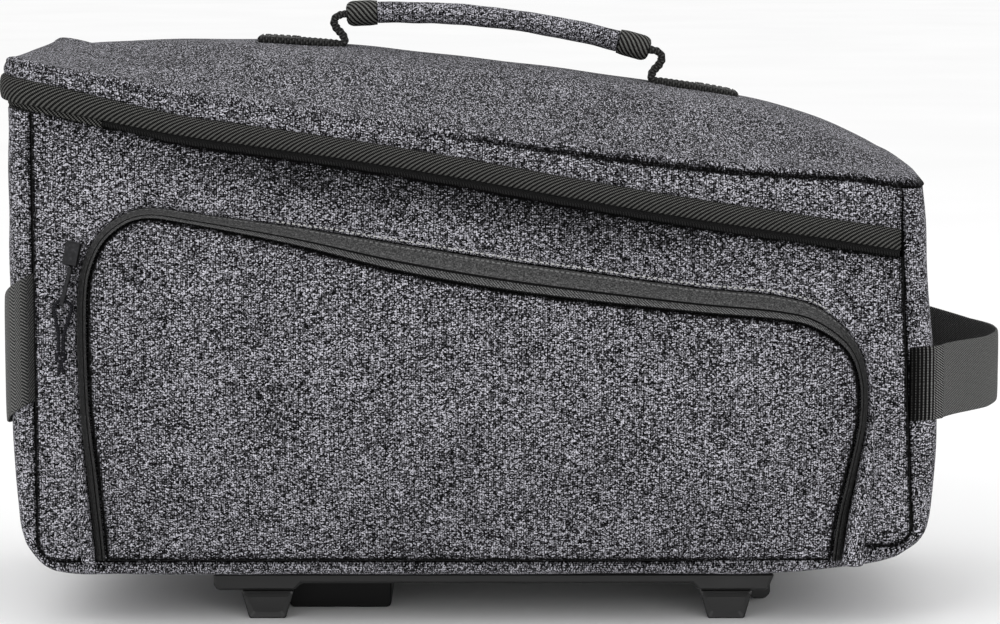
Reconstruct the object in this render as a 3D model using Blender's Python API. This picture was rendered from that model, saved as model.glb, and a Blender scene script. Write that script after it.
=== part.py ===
"""Bicycle trunk bag: a padded fabric bag with a domed lid that clips on a rear rack.

The bag stands on its rack adapter. +X runs along the bag from the tall end to the
low end with the pull loop, +Y runs across it and +Z is up. The origin is on the
ground, under the middle of the bag's box.
"""
from collections import namedtuple
import math

import bmesh
import bpy
import numpy as np

# Main sizes, in metres
BODY_LENGTH = 0.3690  # over the bulging end panels
LOOP_REACH = 0.0292  # pull loop beyond the low end
SEAM_HALF_WIDTH = 0.0865  # centre plane to the seams of the side panels
TALL_HEIGHT = 0.1989  # underside to the top of the zip flap at the tall end
LOW_HEIGHT = 0.1395  # the same at the low end
WALL = 0.003  # padded fabric
GAP = 0.0003  # clearance between neighbouring pieces
EDGE = 0.0008  # thickness that is left at a turned-in fabric edge
EDGE_ROLL = 0.0045  # width over which a padded edge rolls down to its seam

# Rack adapter
FOOT_DROP = 0.0113  # below the adapter's end pads
PAD_THICKNESS = 0.0070
PLATE_THICKNESS = 0.0042
PLATE_HALF_WIDTH = 0.066
PLATE_LENGTH = 0.223
PLATE_SHIFT = -0.007  # middle of the plate from the origin
TALL_PAD_LENGTH = 0.032
LOW_PAD_LENGTH = 0.030
PLATE_BEVEL = 0.0010
FOOT_TOP_LENGTH = 0.0208
FOOT_FLOOR_LENGTH = 0.0145
FOOT_DEPTH = 0.016
FOOT_RECESS = 0.0012
FOOT_RIB = 0.0030
LATCH_LENGTH = 0.041
LATCH_UNDER_PAD = 0.0030  # overlap of the latch housing and the tall pad
LATCH_HALF_WIDTH = 0.045
LATCH_DROP = 0.0135  # below the plate's middle
HOOK_LENGTH = 0.0092
HOOK_HALF_WIDTH = 0.030
HOOK_CLEARANCE = 0.0006  # from the low feet
HOOK_DROP = 0.0103

# Seam outline of the side panels and bulges of the panel that wraps the ends and base
SEAM_CORNER_RADIUS = 0.008
LOW_LEAN = 0.006  # the low end leans in by this much
LOW_SEAM_RISE = 0.0060  # the base's seam rises towards the low end
TALL_BULGE = 0.0127
LOW_BULGE = 0.0150
BASE_BULGE = 0.0090
BULGE_POWER = 5.0
SIDE_CROWN = 0.0035

# Lid, its zip and the flap over the zip
LID_CORNER_RADIUS = 0.014
LID_INSET = 0.0020  # lid's tall end inside the end panel's bulge
BAND_HEIGHT = 0.0169  # tallest part of the lid's side band above the flap
CROWN_RISE = 0.0235
CROWN_POWER = 2.3
END_DIP = 0.0025  # the lid's tall edge sinks between its two corners
FLAP_HEIGHT = 0.0078
FLAP_THICKNESS = 0.0022
FLAP_OVERLAP = 0.0040  # on the lid's side band
FLAP_SAG = 0.0040
SLOT_SHOW = 0.0034  # height of zip that shows below the flap
ZIP_THICKNESS = 0.0012
ZIP_INSET = 0.0016  # zip behind the lid's outer face
RIM_TAPE_THICKNESS = 0.0009
RIM_TAPE_LENGTH = 0.026  # along the sides, from the lid's rounded corner

# Side pockets
POCKET_LENGTH = 0.2965
POCKET_HEIGHT = 0.1340
POCKET_OFFSET = 0.0223  # from the tall end's seam to the pocket's panel
POCKET_LIFT = 0.0012  # pocket's lower edge above the bottom seam
POCKET_DEPTH = 0.0115
POCKET_FOOT_DEPTH = 0.0050
POCKET_CROWN = 0.0040
POCKET_WALL = 0.0025
POCKET_ZIP_WIDTH = 0.0105
POCKET_ZIP_THICKNESS = 0.0012

# Zip pulls of the pockets
SLIDER_LENGTH = 0.0095
SLIDER_WIDTH = 0.0060
SLIDER_THICKNESS = 0.0030
PULLER_LENGTH = 0.0160
PULLER_WIDTH = 0.0050
PULLER_THICKNESS = 0.0013
PULLER_HOLE_RADIUS = 0.0014
CORD_DIAMETER = 0.0014
CORD_LOOP_RADIUS = 0.0034
CORD_DROP = 0.0200  # puller's hole to the knot
CORD_SWAY = 0.0012  # the cord hangs away from the pocket
KNOT_LENGTH = 0.0095
KNOT_RADIUS = 0.0026

# Carrying handle on the lid
HANDLE_SHIFT = -0.0055  # middle of the handle from the origin
GRIP_LENGTH = 0.0980
GRIP_HEIGHT = 0.0086
GRIP_WIDTH = 0.0125
GRIP_CLEARANCE = 0.0158  # lid to the middle of the grip, at its ends
GRIP_ARCH = 0.0035
WRAP_LENGTH = 0.0125
WRAP_THICKNESS = 0.0009
STRAP_WIDTH = 0.020
STRAP_THICKNESS = 0.0022
STRAP_LENGTH = 0.034  # sewn stretch on the lid
STRAP_SWAY = 0.0045

# Pull loop at the low end and light band at the tall end
LOOP_WIDTH = 0.0290
LOOP_THICKNESS = 0.0016
LOOP_HEIGHT = 0.0972  # middle of the loop at the seams, above the ground
LOOP_SAG = 0.0030
LIGHT_BAND_HEIGHT = 0.0500
LIGHT_BAND_CENTRE = 0.1155  # middle of the band at the seams, above the ground
LIGHT_BAND_SAG = 0.0150
LIGHT_BAND_THICKNESS = 0.0015

# Heights and ends that follow from the sizes above
UNDERSIDE = FOOT_DROP + PAD_THICKNESS + GAP
SEAM_BOTTOM = UNDERSIDE + BASE_BULGE
BAND_STAND_OFF = 2 * GAP + LIGHT_BAND_THICKNESS
TALL_X = -(BODY_LENGTH + LOOP_REACH + BAND_STAND_OFF) / 2 + BAND_STAND_OFF
LOW_X = TALL_X + BODY_LENGTH
TALL_SEAM_X = TALL_X + TALL_BULGE
LOW_SEAM_X = LOW_X - LOW_BULGE
HINGE_X = LOW_SEAM_X - LOW_LEAN
LID_TALL_X = TALL_X + LID_INSET
OUTER_HALF_WIDTH = SEAM_HALF_WIDTH + WALL
WRAP_HALF_WIDTH = SEAM_HALF_WIDTH - GAP

# Lid from the tall edge (along 0) to the low seam (along 1). Sag, crease, crown and
# flap are shares of FLAP_SAG, BAND_HEIGHT, CROWN_RISE and FLAP_HEIGHT.
LidRow = namedtuple("LidRow", "along sag crease crown flap")
LID_SECTIONS = (
    LidRow(0.000, 0.00, 0.22, 0.00, 1.25),
    LidRow(0.012, 0.02, 0.22, 0.03, 1.25),
    LidRow(0.040, 0.10, 0.22, 0.11, 1.22),
    LidRow(0.085, 0.34, 0.25, 0.28, 1.16),
    LidRow(0.135, 0.66, 0.30, 0.45, 1.08),
    LidRow(0.200, 0.92, 0.34, 0.65, 1.00),
    LidRow(0.270, 0.76, 0.32, 0.79, 1.00),
    LidRow(0.360, 0.53, 0.32, 0.88, 1.00),
    LidRow(0.450, 0.42, 0.36, 0.94, 1.00),
    LidRow(0.540, 0.42, 0.41, 0.98, 1.00),
    LidRow(0.630, 0.50, 0.49, 0.98, 1.00),
    LidRow(0.710, 0.53, 0.57, 0.96, 1.00),
    LidRow(0.790, 0.46, 0.66, 0.89, 1.00),
    LidRow(0.850, 0.35, 0.75, 0.74, 1.00),
    LidRow(0.900, 0.22, 0.84, 0.53, 1.00),
    LidRow(0.945, 0.11, 0.92, 0.27, 1.02),
    LidRow(0.980, 0.03, 0.94, 0.09, 1.05),
    LidRow(1.000, 0.00, 0.92, 0.02, 1.05),
)

# Sections of the panel that wraps the tall end, the base and the low end. Share runs
# along each stretch, and the last three columns weigh the three bulges.
WrapRow = namedtuple("WrapRow", "stretch share tall base low")
WRAP_SECTIONS = (
    WrapRow("tall", 0.00, 1.00, 0.00, 0.00),
    WrapRow("tall", 0.30, 1.00, 0.00, 0.00),
    WrapRow("tall", 0.60, 1.00, 0.00, 0.00),
    WrapRow("tall", 0.80, 0.99, 0.00, 0.00),
    WrapRow("tall", 0.91, 0.87, 0.00, 0.00),
    WrapRow("tall_corner", 0.00, 0.64, 0.00, 0.00),
    WrapRow("tall_corner", 0.33, 0.30, 0.22, 0.00),
    WrapRow("tall_corner", 0.67, 0.08, 0.58, 0.00),
    WrapRow("tall_corner", 1.00, 0.00, 0.84, 0.00),
    WrapRow("base", 0.08, 0.00, 0.99, 0.00),
    WrapRow("base", 0.20, 0.00, 1.00, 0.00),
    WrapRow("base", 0.50, 0.00, 1.00, 0.00),
    WrapRow("base", 0.75, 0.00, 1.00, 0.00),
    WrapRow("base", 0.92, 0.00, 1.40, 0.00),
    WrapRow("low_corner", 0.00, 0.00, 0.95, 0.00),
    WrapRow("low_corner", 0.33, 0.00, 0.62, 0.06),
    WrapRow("low_corner", 0.67, 0.00, 0.28, 0.35),
    WrapRow("low_corner", 1.00, 0.00, 0.00, 0.64),
    WrapRow("low", 0.08, 0.00, 0.00, 0.82),
    WrapRow("low", 0.20, 0.00, 0.00, 0.97),
    WrapRow("low", 0.42, 0.00, 0.00, 1.00),
    WrapRow("low", 0.75, 0.00, 0.00, 0.87),
    WrapRow("low", 1.00, 0.00, 0.00, 0.80),
)

# Columns of points across the wrap and the lid, as shares of their half widths
WRAP_ACROSS = (0.0, 0.45, 0.72, 0.87, 0.955, 1.0)
LID_ACROSS = (0.0, 0.25, 0.5, 0.74, 0.9, 0.965, 1.0)

# Arch of a pocket's panel. Along and up are shares of POCKET_LENGTH and
# POCKET_HEIGHT, and zip is the zip gusset's width as a share of POCKET_ZIP_WIDTH.
ArchRow = namedtuple("ArchRow", "along up zip")
POCKET_ARCH = (
    ArchRow(0.018, 0.000, 0.45),
    ArchRow(0.010, 0.250, 0.52),
    ArchRow(0.001, 0.480, 0.50),
    ArchRow(0.000, 0.760, 0.50),
    ArchRow(0.009, 0.875, 0.45),
    ArchRow(0.032, 0.955, 0.38),
    ArchRow(0.073, 1.000, 0.33),
    ArchRow(0.138, 0.983, 0.36),
    ArchRow(0.269, 0.925, 0.60),
    ArchRow(0.399, 0.853, 0.92),
    ArchRow(0.530, 0.800, 1.00),
    ArchRow(0.661, 0.762, 0.96),
    ArchRow(0.791, 0.731, 0.84),
    ArchRow(0.897, 0.709, 0.80),
    ArchRow(0.942, 0.685, 0.70),
    ArchRow(0.982, 0.624, 0.50),
    ArchRow(0.999, 0.538, 0.42),
    ArchRow(1.000, 0.421, 0.42),
    ArchRow(0.988, 0.277, 0.45),
    ArchRow(0.975, 0.132, 0.48),
    ArchRow(0.968, 0.000, 0.45),
)
ARCH_TALL_CORNER = 5  # rows of the arch's two rounded corners
ARCH_LOW_CORNER = 15

# Route of the pull loop. Across is a share of the wrap's half width, and out is the
# share of the way from the low end's face to the loop's tip.
LoopRow = namedtuple("LoopRow", "across out")
LOOP_ROUTE = (
    LoopRow(1.000, 0.00),
    LoopRow(0.955, 0.00),
    LoopRow(0.870, 0.03),
    LoopRow(0.720, 0.20),
    LoopRow(0.550, 0.45),
    LoopRow(0.380, 0.70),
    LoopRow(0.230, 0.88),
    LoopRow(0.110, 0.98),
)

# Rise of a handle strap from the lid into the grip's end. Out is a share of
# STRAP_SWAY towards the strap's sewn end, and up a share of the grip's clearance.
RiseRow = namedtuple("RiseRow", "out up")
STRAP_RISE = (
    RiseRow(0.30, 0.00),
    RiseRow(0.05, 0.12),
    RiseRow(0.25, 0.32),
    RiseRow(0.75, 0.52),
    RiseRow(1.00, 0.74),
    RiseRow(0.75, 0.92),
    RiseRow(0.10, 1.00),
)

SIDES = ("near", "far")

MATERIALS = {
    # name: colour, roughness, metallic
    "heather_fabric": ((0.105, 0.105, 0.115, 1.0), 0.92, 0.0),
    "twill_tape": ((0.030, 0.030, 0.029, 1.0), 0.80, 0.0),
    "zip_tape": ((0.060, 0.061, 0.060, 1.0), 0.62, 0.0),
    "webbing": ((0.028, 0.029, 0.028, 1.0), 0.78, 0.0),
    "cord": ((0.012, 0.012, 0.015, 1.0), 0.70, 0.0),
    "dark_metal": ((0.060, 0.060, 0.062, 1.0), 0.35, 1.0),
    "adapter_plastic": ((0.020, 0.020, 0.020, 1.0), 0.42, 0.0),
}


def material(name):
    """The Principled material of that name, made on its first use."""
    made = bpy.data.materials.get(name)
    if made is None:
        colour, roughness, metallic = MATERIALS[name]
        made = bpy.data.materials.new(name)
        made.use_nodes = True
        shader = made.node_tree.nodes["Principled BSDF"]
        shader.inputs["Base Color"].default_value = colour
        shader.inputs["Roughness"].default_value = roughness
        shader.inputs["Metallic"].default_value = metallic
    return made


def add_object(name, points, faces, finish):
    """A mesh object with its faces turned outwards and its soft edges shaded smooth."""
    mesh = bpy.data.meshes.new(name)
    mesh.from_pydata([tuple(p) for p in points], [], faces)
    work = bmesh.new()
    work.from_mesh(mesh)
    bmesh.ops.recalc_face_normals(work, faces=work.faces)
    work.to_mesh(mesh)
    work.free()
    mesh.shade_smooth()
    mesh.set_sharp_from_angle(angle=math.radians(40))
    mesh.materials.append(material(finish))
    made = bpy.data.objects.new(name, mesh)
    bpy.context.scene.collection.objects.link(made)
    return made


def add_shell(name, outer, inner, finish):
    """A sheet with thickness: two matching grids of points, joined round their edge."""
    rows, cols = outer.shape[:2]
    points = np.concatenate([outer.reshape(-1, 3), inner.reshape(-1, 3)])
    back = rows * cols
    faces = []
    for r in range(rows - 1):
        for c in range(cols - 1):
            quad = [r * cols + c, r * cols + c + 1, (r + 1) * cols + c + 1, (r + 1) * cols + c]
            faces.append(quad)
            faces.append([back + i for i in reversed(quad)])
    border = [c for c in range(cols)]
    border += [r * cols + cols - 1 for r in range(1, rows)]
    border += [(rows - 1) * cols + c for c in range(cols - 2, -1, -1)]
    border += [r * cols for r in range(rows - 2, 0, -1)]
    for a, b in zip(border, border[1:] + border[:1]):
        faces.append([b, a, back + a, back + b])
    return add_object(name, points, faces, finish)


def add_sweep(name, rings, finish):
    """A bar through matching rings of points, with a cap on each end."""
    count, sides = rings.shape[:2]
    faces = []
    for i in range(count - 1):
        for k in range(sides):
            after = (k + 1) % sides
            faces.append(
                [i * sides + k, i * sides + after, (i + 1) * sides + after, (i + 1) * sides + k]
            )
    faces.append(list(range(sides))[::-1])
    faces.append([(count - 1) * sides + k for k in range(sides)])
    return add_object(name, rings.reshape(-1, 3), faces, finish)


def add_bevel(made, width):
    """A narrow one-step bevel on every sharp edge."""
    bevel = made.modifiers.new("edges", "BEVEL")
    bevel.width = width
    bevel.segments = 1
    bevel.limit_method = "ANGLE"


def side_sign(side_name):
    """Direction of a side along Y."""
    return -1.0 if side_name == "near" else 1.0


def smooth_step(value):
    """0 to 1 with level ends."""
    value = np.clip(value, 0.0, 1.0)
    return value * value * (3 - 2 * value)


def read_rows(rows, column, at, key="along"):
    """A smooth curve through one column of a table, with slopes taken from the neighbours."""
    x = np.array([getattr(row, key) for row in rows])
    y = np.array([getattr(row, column) for row in rows])
    slope = np.gradient(y, x)
    at = np.clip(np.asarray(at, float), x[0], x[-1])
    i = np.clip(np.searchsorted(x, at, side="right") - 1, 0, len(x) - 2)
    step = x[i + 1] - x[i]
    t = (at - x[i]) / step
    hold = smooth_step(t)
    bend = slope[i] * t * (1 - t) ** 2 - slope[i + 1] * (1 - t) * t**2
    return y[i] * (1 - hold) + y[i + 1] * hold + bend * step


def smooth_curve(points, count):
    """Points at even distances on a smooth curve through the given ones."""
    points = np.asarray(points, float)
    padded = np.vstack([2 * points[0] - points[1], points, 2 * points[-1] - points[-2]])
    fine = []
    for i in range(len(points) - 1):
        a, b, c, d = padded[i : i + 4]
        for t in np.linspace(0, 1, 12, endpoint=False):
            fine.append(
                0.5 * (2 * b + (c - a) * t + (2 * a - 5 * b + 4 * c - d) * t**2
                       + (3 * b - a - 3 * c + d) * t**3)
            )
    fine.append(points[-1])
    return spread_evenly(np.array(fine), np.linspace(0, 1, count))


def spread_evenly(line, shares):
    """Points on a line of points, at shares of its length."""
    run = np.concatenate([[0.0], np.cumsum(np.linalg.norm(np.diff(line, axis=0), axis=1))])
    at = np.asarray(shares) * run[-1]
    return np.stack([np.interp(at, run, line[:, k]) for k in range(line.shape[1])], axis=1)


def mirrored(shares):
    """Shares from -1 to 1 out of the shares from 0 to 1."""
    half = np.asarray(shares)
    return np.concatenate([-half[:0:-1], half])


def bulge(across):
    """Height of a bulging panel's section: 0 at the seams and 1 over a flat middle."""
    across = np.clip(np.abs(across), 0, 1)
    return (1 - across**BULGE_POWER) ** (1 / BULGE_POWER)


def flap_top(x):
    """Height of the zip flap's upper edge above the ground."""
    along = np.clip((x - LID_TALL_X) / (HINGE_X - LID_TALL_X), 0, 1)
    straight = TALL_HEIGHT + (LOW_HEIGHT - TALL_HEIGHT) * along
    return UNDERSIDE + straight - FLAP_SAG * read_rows(LID_SECTIONS, "sag", along)


def flap_height(x):
    along = (x - LID_TALL_X) / (HINGE_X - LID_TALL_X)
    return FLAP_HEIGHT * read_rows(LID_SECTIONS, "flap", along)


def rim(x):
    """Height of the side panels' upper edge, just below the strip of zip that shows."""
    return flap_top(x) - FLAP_HEIGHT - SLOT_SHOW


def crease(x):
    """Height of the seam between the lid's side band and its domed top."""
    along = (x - LID_TALL_X) / (HINGE_X - LID_TALL_X)
    return flap_top(x) + BAND_HEIGHT * read_rows(LID_SECTIONS, "crease", along)


def end_dip(y):
    """How far the lid's tall edge sinks between its corners."""
    straight = OUTER_HALF_WIDTH - LID_CORNER_RADIUS
    return END_DIP * (1 - np.clip(np.abs(y) / straight, 0, 1) ** 4)


def lid_alongs():
    """Stations along the lid: even turns round its corner, then the table's rows."""
    length = HINGE_X - LID_TALL_X
    turns = np.radians([0, 22.5, 45, 67.5, 90])
    corner = LID_CORNER_RADIUS * (1 - np.cos(turns)) / length
    rest = [row.along for row in LID_SECTIONS if row.along * length > LID_CORNER_RADIUS * 1.2]
    return np.concatenate([corner, rest])


def lid_half_width(along):
    """Half width of the lid, which narrows round its two corners."""
    to_corner = LID_CORNER_RADIUS - along * (HINGE_X - LID_TALL_X)
    to_corner = np.clip(to_corner, 0, LID_CORNER_RADIUS)
    return OUTER_HALF_WIDTH - LID_CORNER_RADIUS + np.sqrt(LID_CORNER_RADIUS**2 - to_corner**2)


def lid_plan():
    """Stations round the lid from the near low seam, round the tall end, to the far one.

    Gives each station's place and outward direction, looking down.
    """
    alongs = lid_alongs()
    x = LID_TALL_X + alongs * (HINGE_X - LID_TALL_X)
    side = np.column_stack([x, lid_half_width(alongs)])
    centre = LID_TALL_X + LID_CORNER_RADIUS
    lean = np.clip((centre - x) / LID_CORNER_RADIUS, 0, 1)
    side_out = np.column_stack([-lean, np.sqrt(1 - lean**2)])
    end_y = (OUTER_HALF_WIDTH - LID_CORNER_RADIUS) * mirrored(LID_ACROSS[:-1])
    end = np.column_stack([np.full(len(end_y), LID_TALL_X), end_y])
    end_out = np.tile([-1.0, 0.0], (len(end), 1))
    near = np.array([1.0, -1.0])
    places = np.concatenate([(side * near)[::-1], end, side])
    outward = np.concatenate([(side_out * near)[::-1], end_out, side_out])
    return places, outward


def round_the_lid(stations, corners):
    """Rings of points: each corner of the section is (outward offset, heights)."""
    places, outward = stations
    rings = []
    for offset, height in corners:
        flat = places + outward * offset
        rings.append(np.column_stack([flat, height]))
    return np.stack(rings, axis=1)


def base_seam(share):
    """Height of the base's seam, which rises near the low end."""
    return SEAM_BOTTOM + LOW_SEAM_RISE * float(smooth_step((share - 0.72) / 0.28))


def seam_point(stretch, share):
    """A point of the side seam, seen from the side, and the outward direction there."""
    r = SEAM_CORNER_RADIUS
    low_top = float(crease(HINGE_X)) - GAP
    low_corner_z = base_seam(1.0) + r
    lean = math.atan2(LOW_LEAN, low_top - low_corner_z)
    if stretch == "tall":
        top = float(rim(TALL_SEAM_X))
        return (TALL_SEAM_X, top + (SEAM_BOTTOM + r - top) * share), (-1.0, 0.0)
    if stretch == "base":
        ends = (TALL_SEAM_X + r, LOW_SEAM_X - r)
        return (ends[0] + (ends[1] - ends[0]) * share, base_seam(share)), (0.0, -1.0)
    if stretch == "tall_corner":
        turn = math.radians(180 + 90 * share)
        centre = (TALL_SEAM_X + r, SEAM_BOTTOM + r)
    else:
        turn = math.radians(270) + (math.radians(90) + lean) * (share if stretch == "low_corner" else 1)
        centre = (LOW_SEAM_X - r, low_corner_z)
    out = (math.cos(turn), math.sin(turn))
    place = (centre[0] + r * out[0], centre[1] + r * out[1])
    if stretch == "low":
        length = (low_top - place[1]) / math.cos(lean)
        place = (
            place[0] - math.sin(lean) * length * share,
            place[1] + math.cos(lean) * length * share,
        )
        out = (1.0, 0.0)
    return place, out


def seam_line(stretches, steps=12):
    """Close points along whole stretches of the seam, seen from the side."""
    line = []
    for stretch, start, end in stretches:
        for share in np.linspace(start, end, steps):
            line.append(seam_point(stretch, share)[0])
    return np.array(line)


def low_seam_x(z):
    """The low end's seam at a height."""
    line = seam_line([("low", 0, 1)])
    return np.interp(z, line[:, 1], line[:, 0])


def coons(bottom, top, left, right, us, vs):
    """Points of a patch between four border lines, each given as close points."""
    b, t = spread_evenly(bottom, us), spread_evenly(top, us)
    l, r = spread_evenly(left, vs), spread_evenly(right, vs)
    u, v = us[None, :, None], vs[:, None, None]
    ruled = (1 - v) * b[None] + v * t[None] + (1 - u) * l[:, None] + u * r[:, None]
    corners = (
        (1 - u) * (1 - v) * b[0] + u * (1 - v) * b[-1] + (1 - u) * v * t[0] + u * v * t[-1]
    )
    return ruled - corners


def side_face(x, z):
    """Distance of a side panel's outer face from the centre plane, away from its edges."""
    middle = (TALL_SEAM_X + LOW_SEAM_X) / 2
    half = (LOW_SEAM_X - TALL_SEAM_X) / 2
    low, high = SEAM_BOTTOM, rim(x)
    across = np.clip((x - middle) / half, -1, 1)
    up = np.clip((2 * z - low - high) / (high - low), -1, 1)
    return OUTER_HALF_WIDTH + SIDE_CROWN * (1 - across**2) * (1 - up**2)


def rolled(distance, width=EDGE_ROLL):
    """Quarter round that a padded edge follows: 0 at the seam and 1 past its width."""
    return np.sqrt(1 - (1 - np.clip(distance / width, 0, 1)) ** 2)


def edge_distance(grid):
    """Each grid point's distance from the nearest border line of the grid."""
    border = np.concatenate([grid[0], grid[-1], grid[:, 0], grid[:, -1]])
    fine = []
    for line in (grid[0], grid[-1], grid[:, 0], grid[:, -1]):
        fine.append(spread_evenly(line, np.linspace(0, 1, 120)))
    border = np.concatenate(fine)
    flat = grid.reshape(-1, 2)
    nearest = np.min(np.linalg.norm(flat[:, None] - border[None], axis=2), axis=1)
    return nearest.reshape(grid.shape[:2])


def shares_with_edges(length, inner_count, crowding):
    """Shares from 0 to 1 with two extra points in each rolled edge, closer near the ends."""
    first, second = EDGE_ROLL * 0.3 / length, EDGE_ROLL / length
    inner = np.linspace(0, 1, inner_count)
    inner = second + (1 - 2 * second) * (inner - crowding * np.sin(2 * np.pi * inner) / (2 * np.pi))
    return np.concatenate([[0, first], inner, [1 - first, 1]])


def build_side_panel(name, side):
    """Padded side panel inside its seam, with rolled edges and a slight crown."""
    x_ends = np.linspace(TALL_SEAM_X, float(low_seam_x(rim(HINGE_X))), 40)
    top = np.column_stack([x_ends, rim(x_ends)])
    low_share = float(np.interp(top[-1, 1], *seam_line([("low", 0, 1)])[:, [1]].T,
                                np.linspace(0, 1, 12)))
    left = seam_line([("tall", 0, 1), ("tall_corner", 0, 0.5)])[::-1]
    right = seam_line([("low_corner", 0.5, 1), ("low", 0, low_share)])
    bottom = seam_line([("tall_corner", 0.5, 1), ("base", 0, 1), ("low_corner", 0, 0.5)])
    us = shares_with_edges(LOW_SEAM_X - TALL_SEAM_X, 13, 0.5)
    vs = shares_with_edges(TALL_HEIGHT, 7, 0.5)
    grid = coons(bottom, top, left, right, us, vs)
    x, z = grid[..., 0], grid[..., 1]
    back = side_face(x, z) - WALL
    front = back + EDGE + (WALL - EDGE) * rolled(edge_distance(grid))
    outer = np.stack([x, side * front, z], axis=-1)
    inner = np.stack([x, side * back, z], axis=-1)
    add_shell(name, outer, inner, "heather_fabric")


def wrap_depth(row):
    return row.tall * TALL_BULGE + row.base * BASE_BULGE + row.low * LOW_BULGE


def build_wrap():
    """One strip of fabric down the tall end, under the base and up the low end."""
    across = mirrored(WRAP_ACROSS)
    outer, inner = [], []
    for row in WRAP_SECTIONS:
        (x, z), (out_x, out_z) = seam_point(row.stretch, row.share)
        for sheet, thickness in ((outer, 0.0), (inner, WALL)):
            out = wrap_depth(row) * bulge(across) - thickness
            sheet.append(
                np.column_stack([x + out_x * out, across * WRAP_HALF_WIDTH, z + out_z * out])
            )
    add_shell("end_and_base_panel", np.array(outer), np.array(inner), "heather_fabric")


def lid_inner(along, across, y):
    """Height of the lid's inner face from its shares along and across."""
    edge = crease(LID_TALL_X + along * (HINGE_X - LID_TALL_X))
    rise = CROWN_RISE * read_rows(LID_SECTIONS, "crown", along) * (1 - np.abs(across) ** CROWN_POWER)
    fade = 1 - smooth_step(along / 0.06)
    return edge + rise - end_dip(y) * fade


def lid_low_edge(y):
    """Plan of the lid's low edge, over the top of the bulging end panel."""
    last = WRAP_SECTIONS[-1]
    return HINGE_X + wrap_depth(last) * bulge(y / WRAP_HALF_WIDTH)


def lid_face(x, y=0.0):
    """Height of the lid's outer face at a place away from its edges."""
    along = (x - LID_TALL_X) / (lid_low_edge(y) - LID_TALL_X)
    return lid_inner(along, y / OUTER_HALF_WIDTH, y) + WALL


def build_lid_top():
    """Domed, padded top of the lid, on the lid's band and the low end panel."""
    along, across = np.meshgrid(lid_alongs(), mirrored(LID_ACROSS), indexing="ij")
    half = lid_half_width(along)
    y = across * half
    x = LID_TALL_X + along * (lid_low_edge(y) - LID_TALL_X)
    distance = np.minimum(np.minimum(half - np.abs(y), x - LID_TALL_X), lid_low_edge(y) - x)
    under = lid_inner(along, across, y)
    over = under + EDGE + (WALL - EDGE) * rolled(np.maximum(distance, 0))
    add_shell("lid_top", np.stack([x, y, over], -1), np.stack([x, y, under], -1), "heather_fabric")


def build_lid_band():
    """Upright band of the lid: both sides and the tall end."""
    stations = lid_plan()
    x, y = stations[0][:, 0], stations[0][:, 1]
    dip = np.where(x <= LID_TALL_X + GAP, end_dip(y), 0.0)
    top = crease(x) - dip - GAP
    top_inside = crease(x - stations[1][:, 0] * WALL) - dip - GAP
    bottom = flap_top(x) - FLAP_OVERLAP
    section = [(0.0, top), (0.0, bottom), (-WALL, bottom), (-WALL, top_inside)]
    add_sweep("lid_band", round_the_lid(stations, section), "heather_fabric")


def build_main_zip():
    """Zip between the rim of the body and the lid, set back in the slot."""
    stations = lid_plan()
    x = stations[0][:, 0]
    top = flap_top(x) - FLAP_OVERLAP - GAP
    bottom = rim(x) + GAP
    front, back = -ZIP_INSET, -ZIP_INSET - ZIP_THICKNESS
    section = [(front, top), (front, bottom), (back, bottom), (back, top)]
    add_sweep("main_zip", round_the_lid(stations, section), "zip_tape")


def build_zip_flap():
    """Twill tape that hangs from the lid over the zip."""
    stations = lid_plan()
    x = stations[0][:, 0]
    top = flap_top(x)
    height = flap_height(x)
    section = [
        (GAP, top),
        (GAP + FLAP_THICKNESS * 0.70, top - height * 0.06),
        (GAP + FLAP_THICKNESS, top - height * 0.35),
        (GAP + FLAP_THICKNESS * 0.90, top - height * 0.75),
        (GAP + FLAP_THICKNESS * 0.55, top - height),
        (GAP, top - height * 0.93),
    ]
    add_sweep("zip_flap", round_the_lid(stations, section), "twill_tape")


def build_rim_tape():
    """Twill tape over the zip's end, round the tall end below the flap."""
    places, outward = lid_plan()
    keep = places[:, 0] <= LID_TALL_X + LID_CORNER_RADIUS + RIM_TAPE_LENGTH
    stations = places[keep], outward[keep]
    x = places[keep][:, 0]
    front = -ZIP_INSET + GAP + RIM_TAPE_THICKNESS
    back = -ZIP_INSET + GAP
    top = flap_top(x) - FLAP_OVERLAP - GAP
    bottom = rim(x) + GAP
    section = [(front, top), (front, bottom), (back, bottom), (back, top)]
    add_sweep("rim_tape", round_the_lid(stations, section), "twill_tape")


def pocket_arch():
    """The panel's arched edge, seen from the side, as close points."""
    x0 = TALL_SEAM_X + POCKET_OFFSET
    z0 = SEAM_BOTTOM + POCKET_LIFT
    rows = np.array([(x0 + r.along * POCKET_LENGTH, z0 + r.up * POCKET_HEIGHT) for r in POCKET_ARCH])
    return rows


def arch_lines(rows, steps=10):
    """The left, top and right borders of the panel, as smooth lines."""
    padded = np.vstack([2 * rows[0] - rows[1], rows, 2 * rows[-1] - rows[-2]])
    lines = []
    for i in range(len(rows) - 1):
        a, b, c, d = padded[i : i + 4]
        t = np.linspace(0, 1, steps)[:, None]
        lines.append(0.5 * (2 * b + (c - a) * t + (2 * a - 5 * b + 4 * c - d) * t**2
                            + (3 * b - a - 3 * c + d) * t**3))
    left = np.concatenate(lines[:ARCH_TALL_CORNER])
    top = np.concatenate(lines[ARCH_TALL_CORNER:ARCH_LOW_CORNER])
    right = np.concatenate(lines[ARCH_LOW_CORNER:])[::-1]
    return left, top, right


def pocket_edge_depth(z):
    """Depth of the pocket at its edge: shallow at the foot, full under the zip."""
    up = (z - SEAM_BOTTOM - POCKET_LIFT) / POCKET_HEIGHT
    return POCKET_FOOT_DEPTH + (POCKET_DEPTH - POCKET_FOOT_DEPTH) * smooth_step(up / 0.4)


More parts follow.
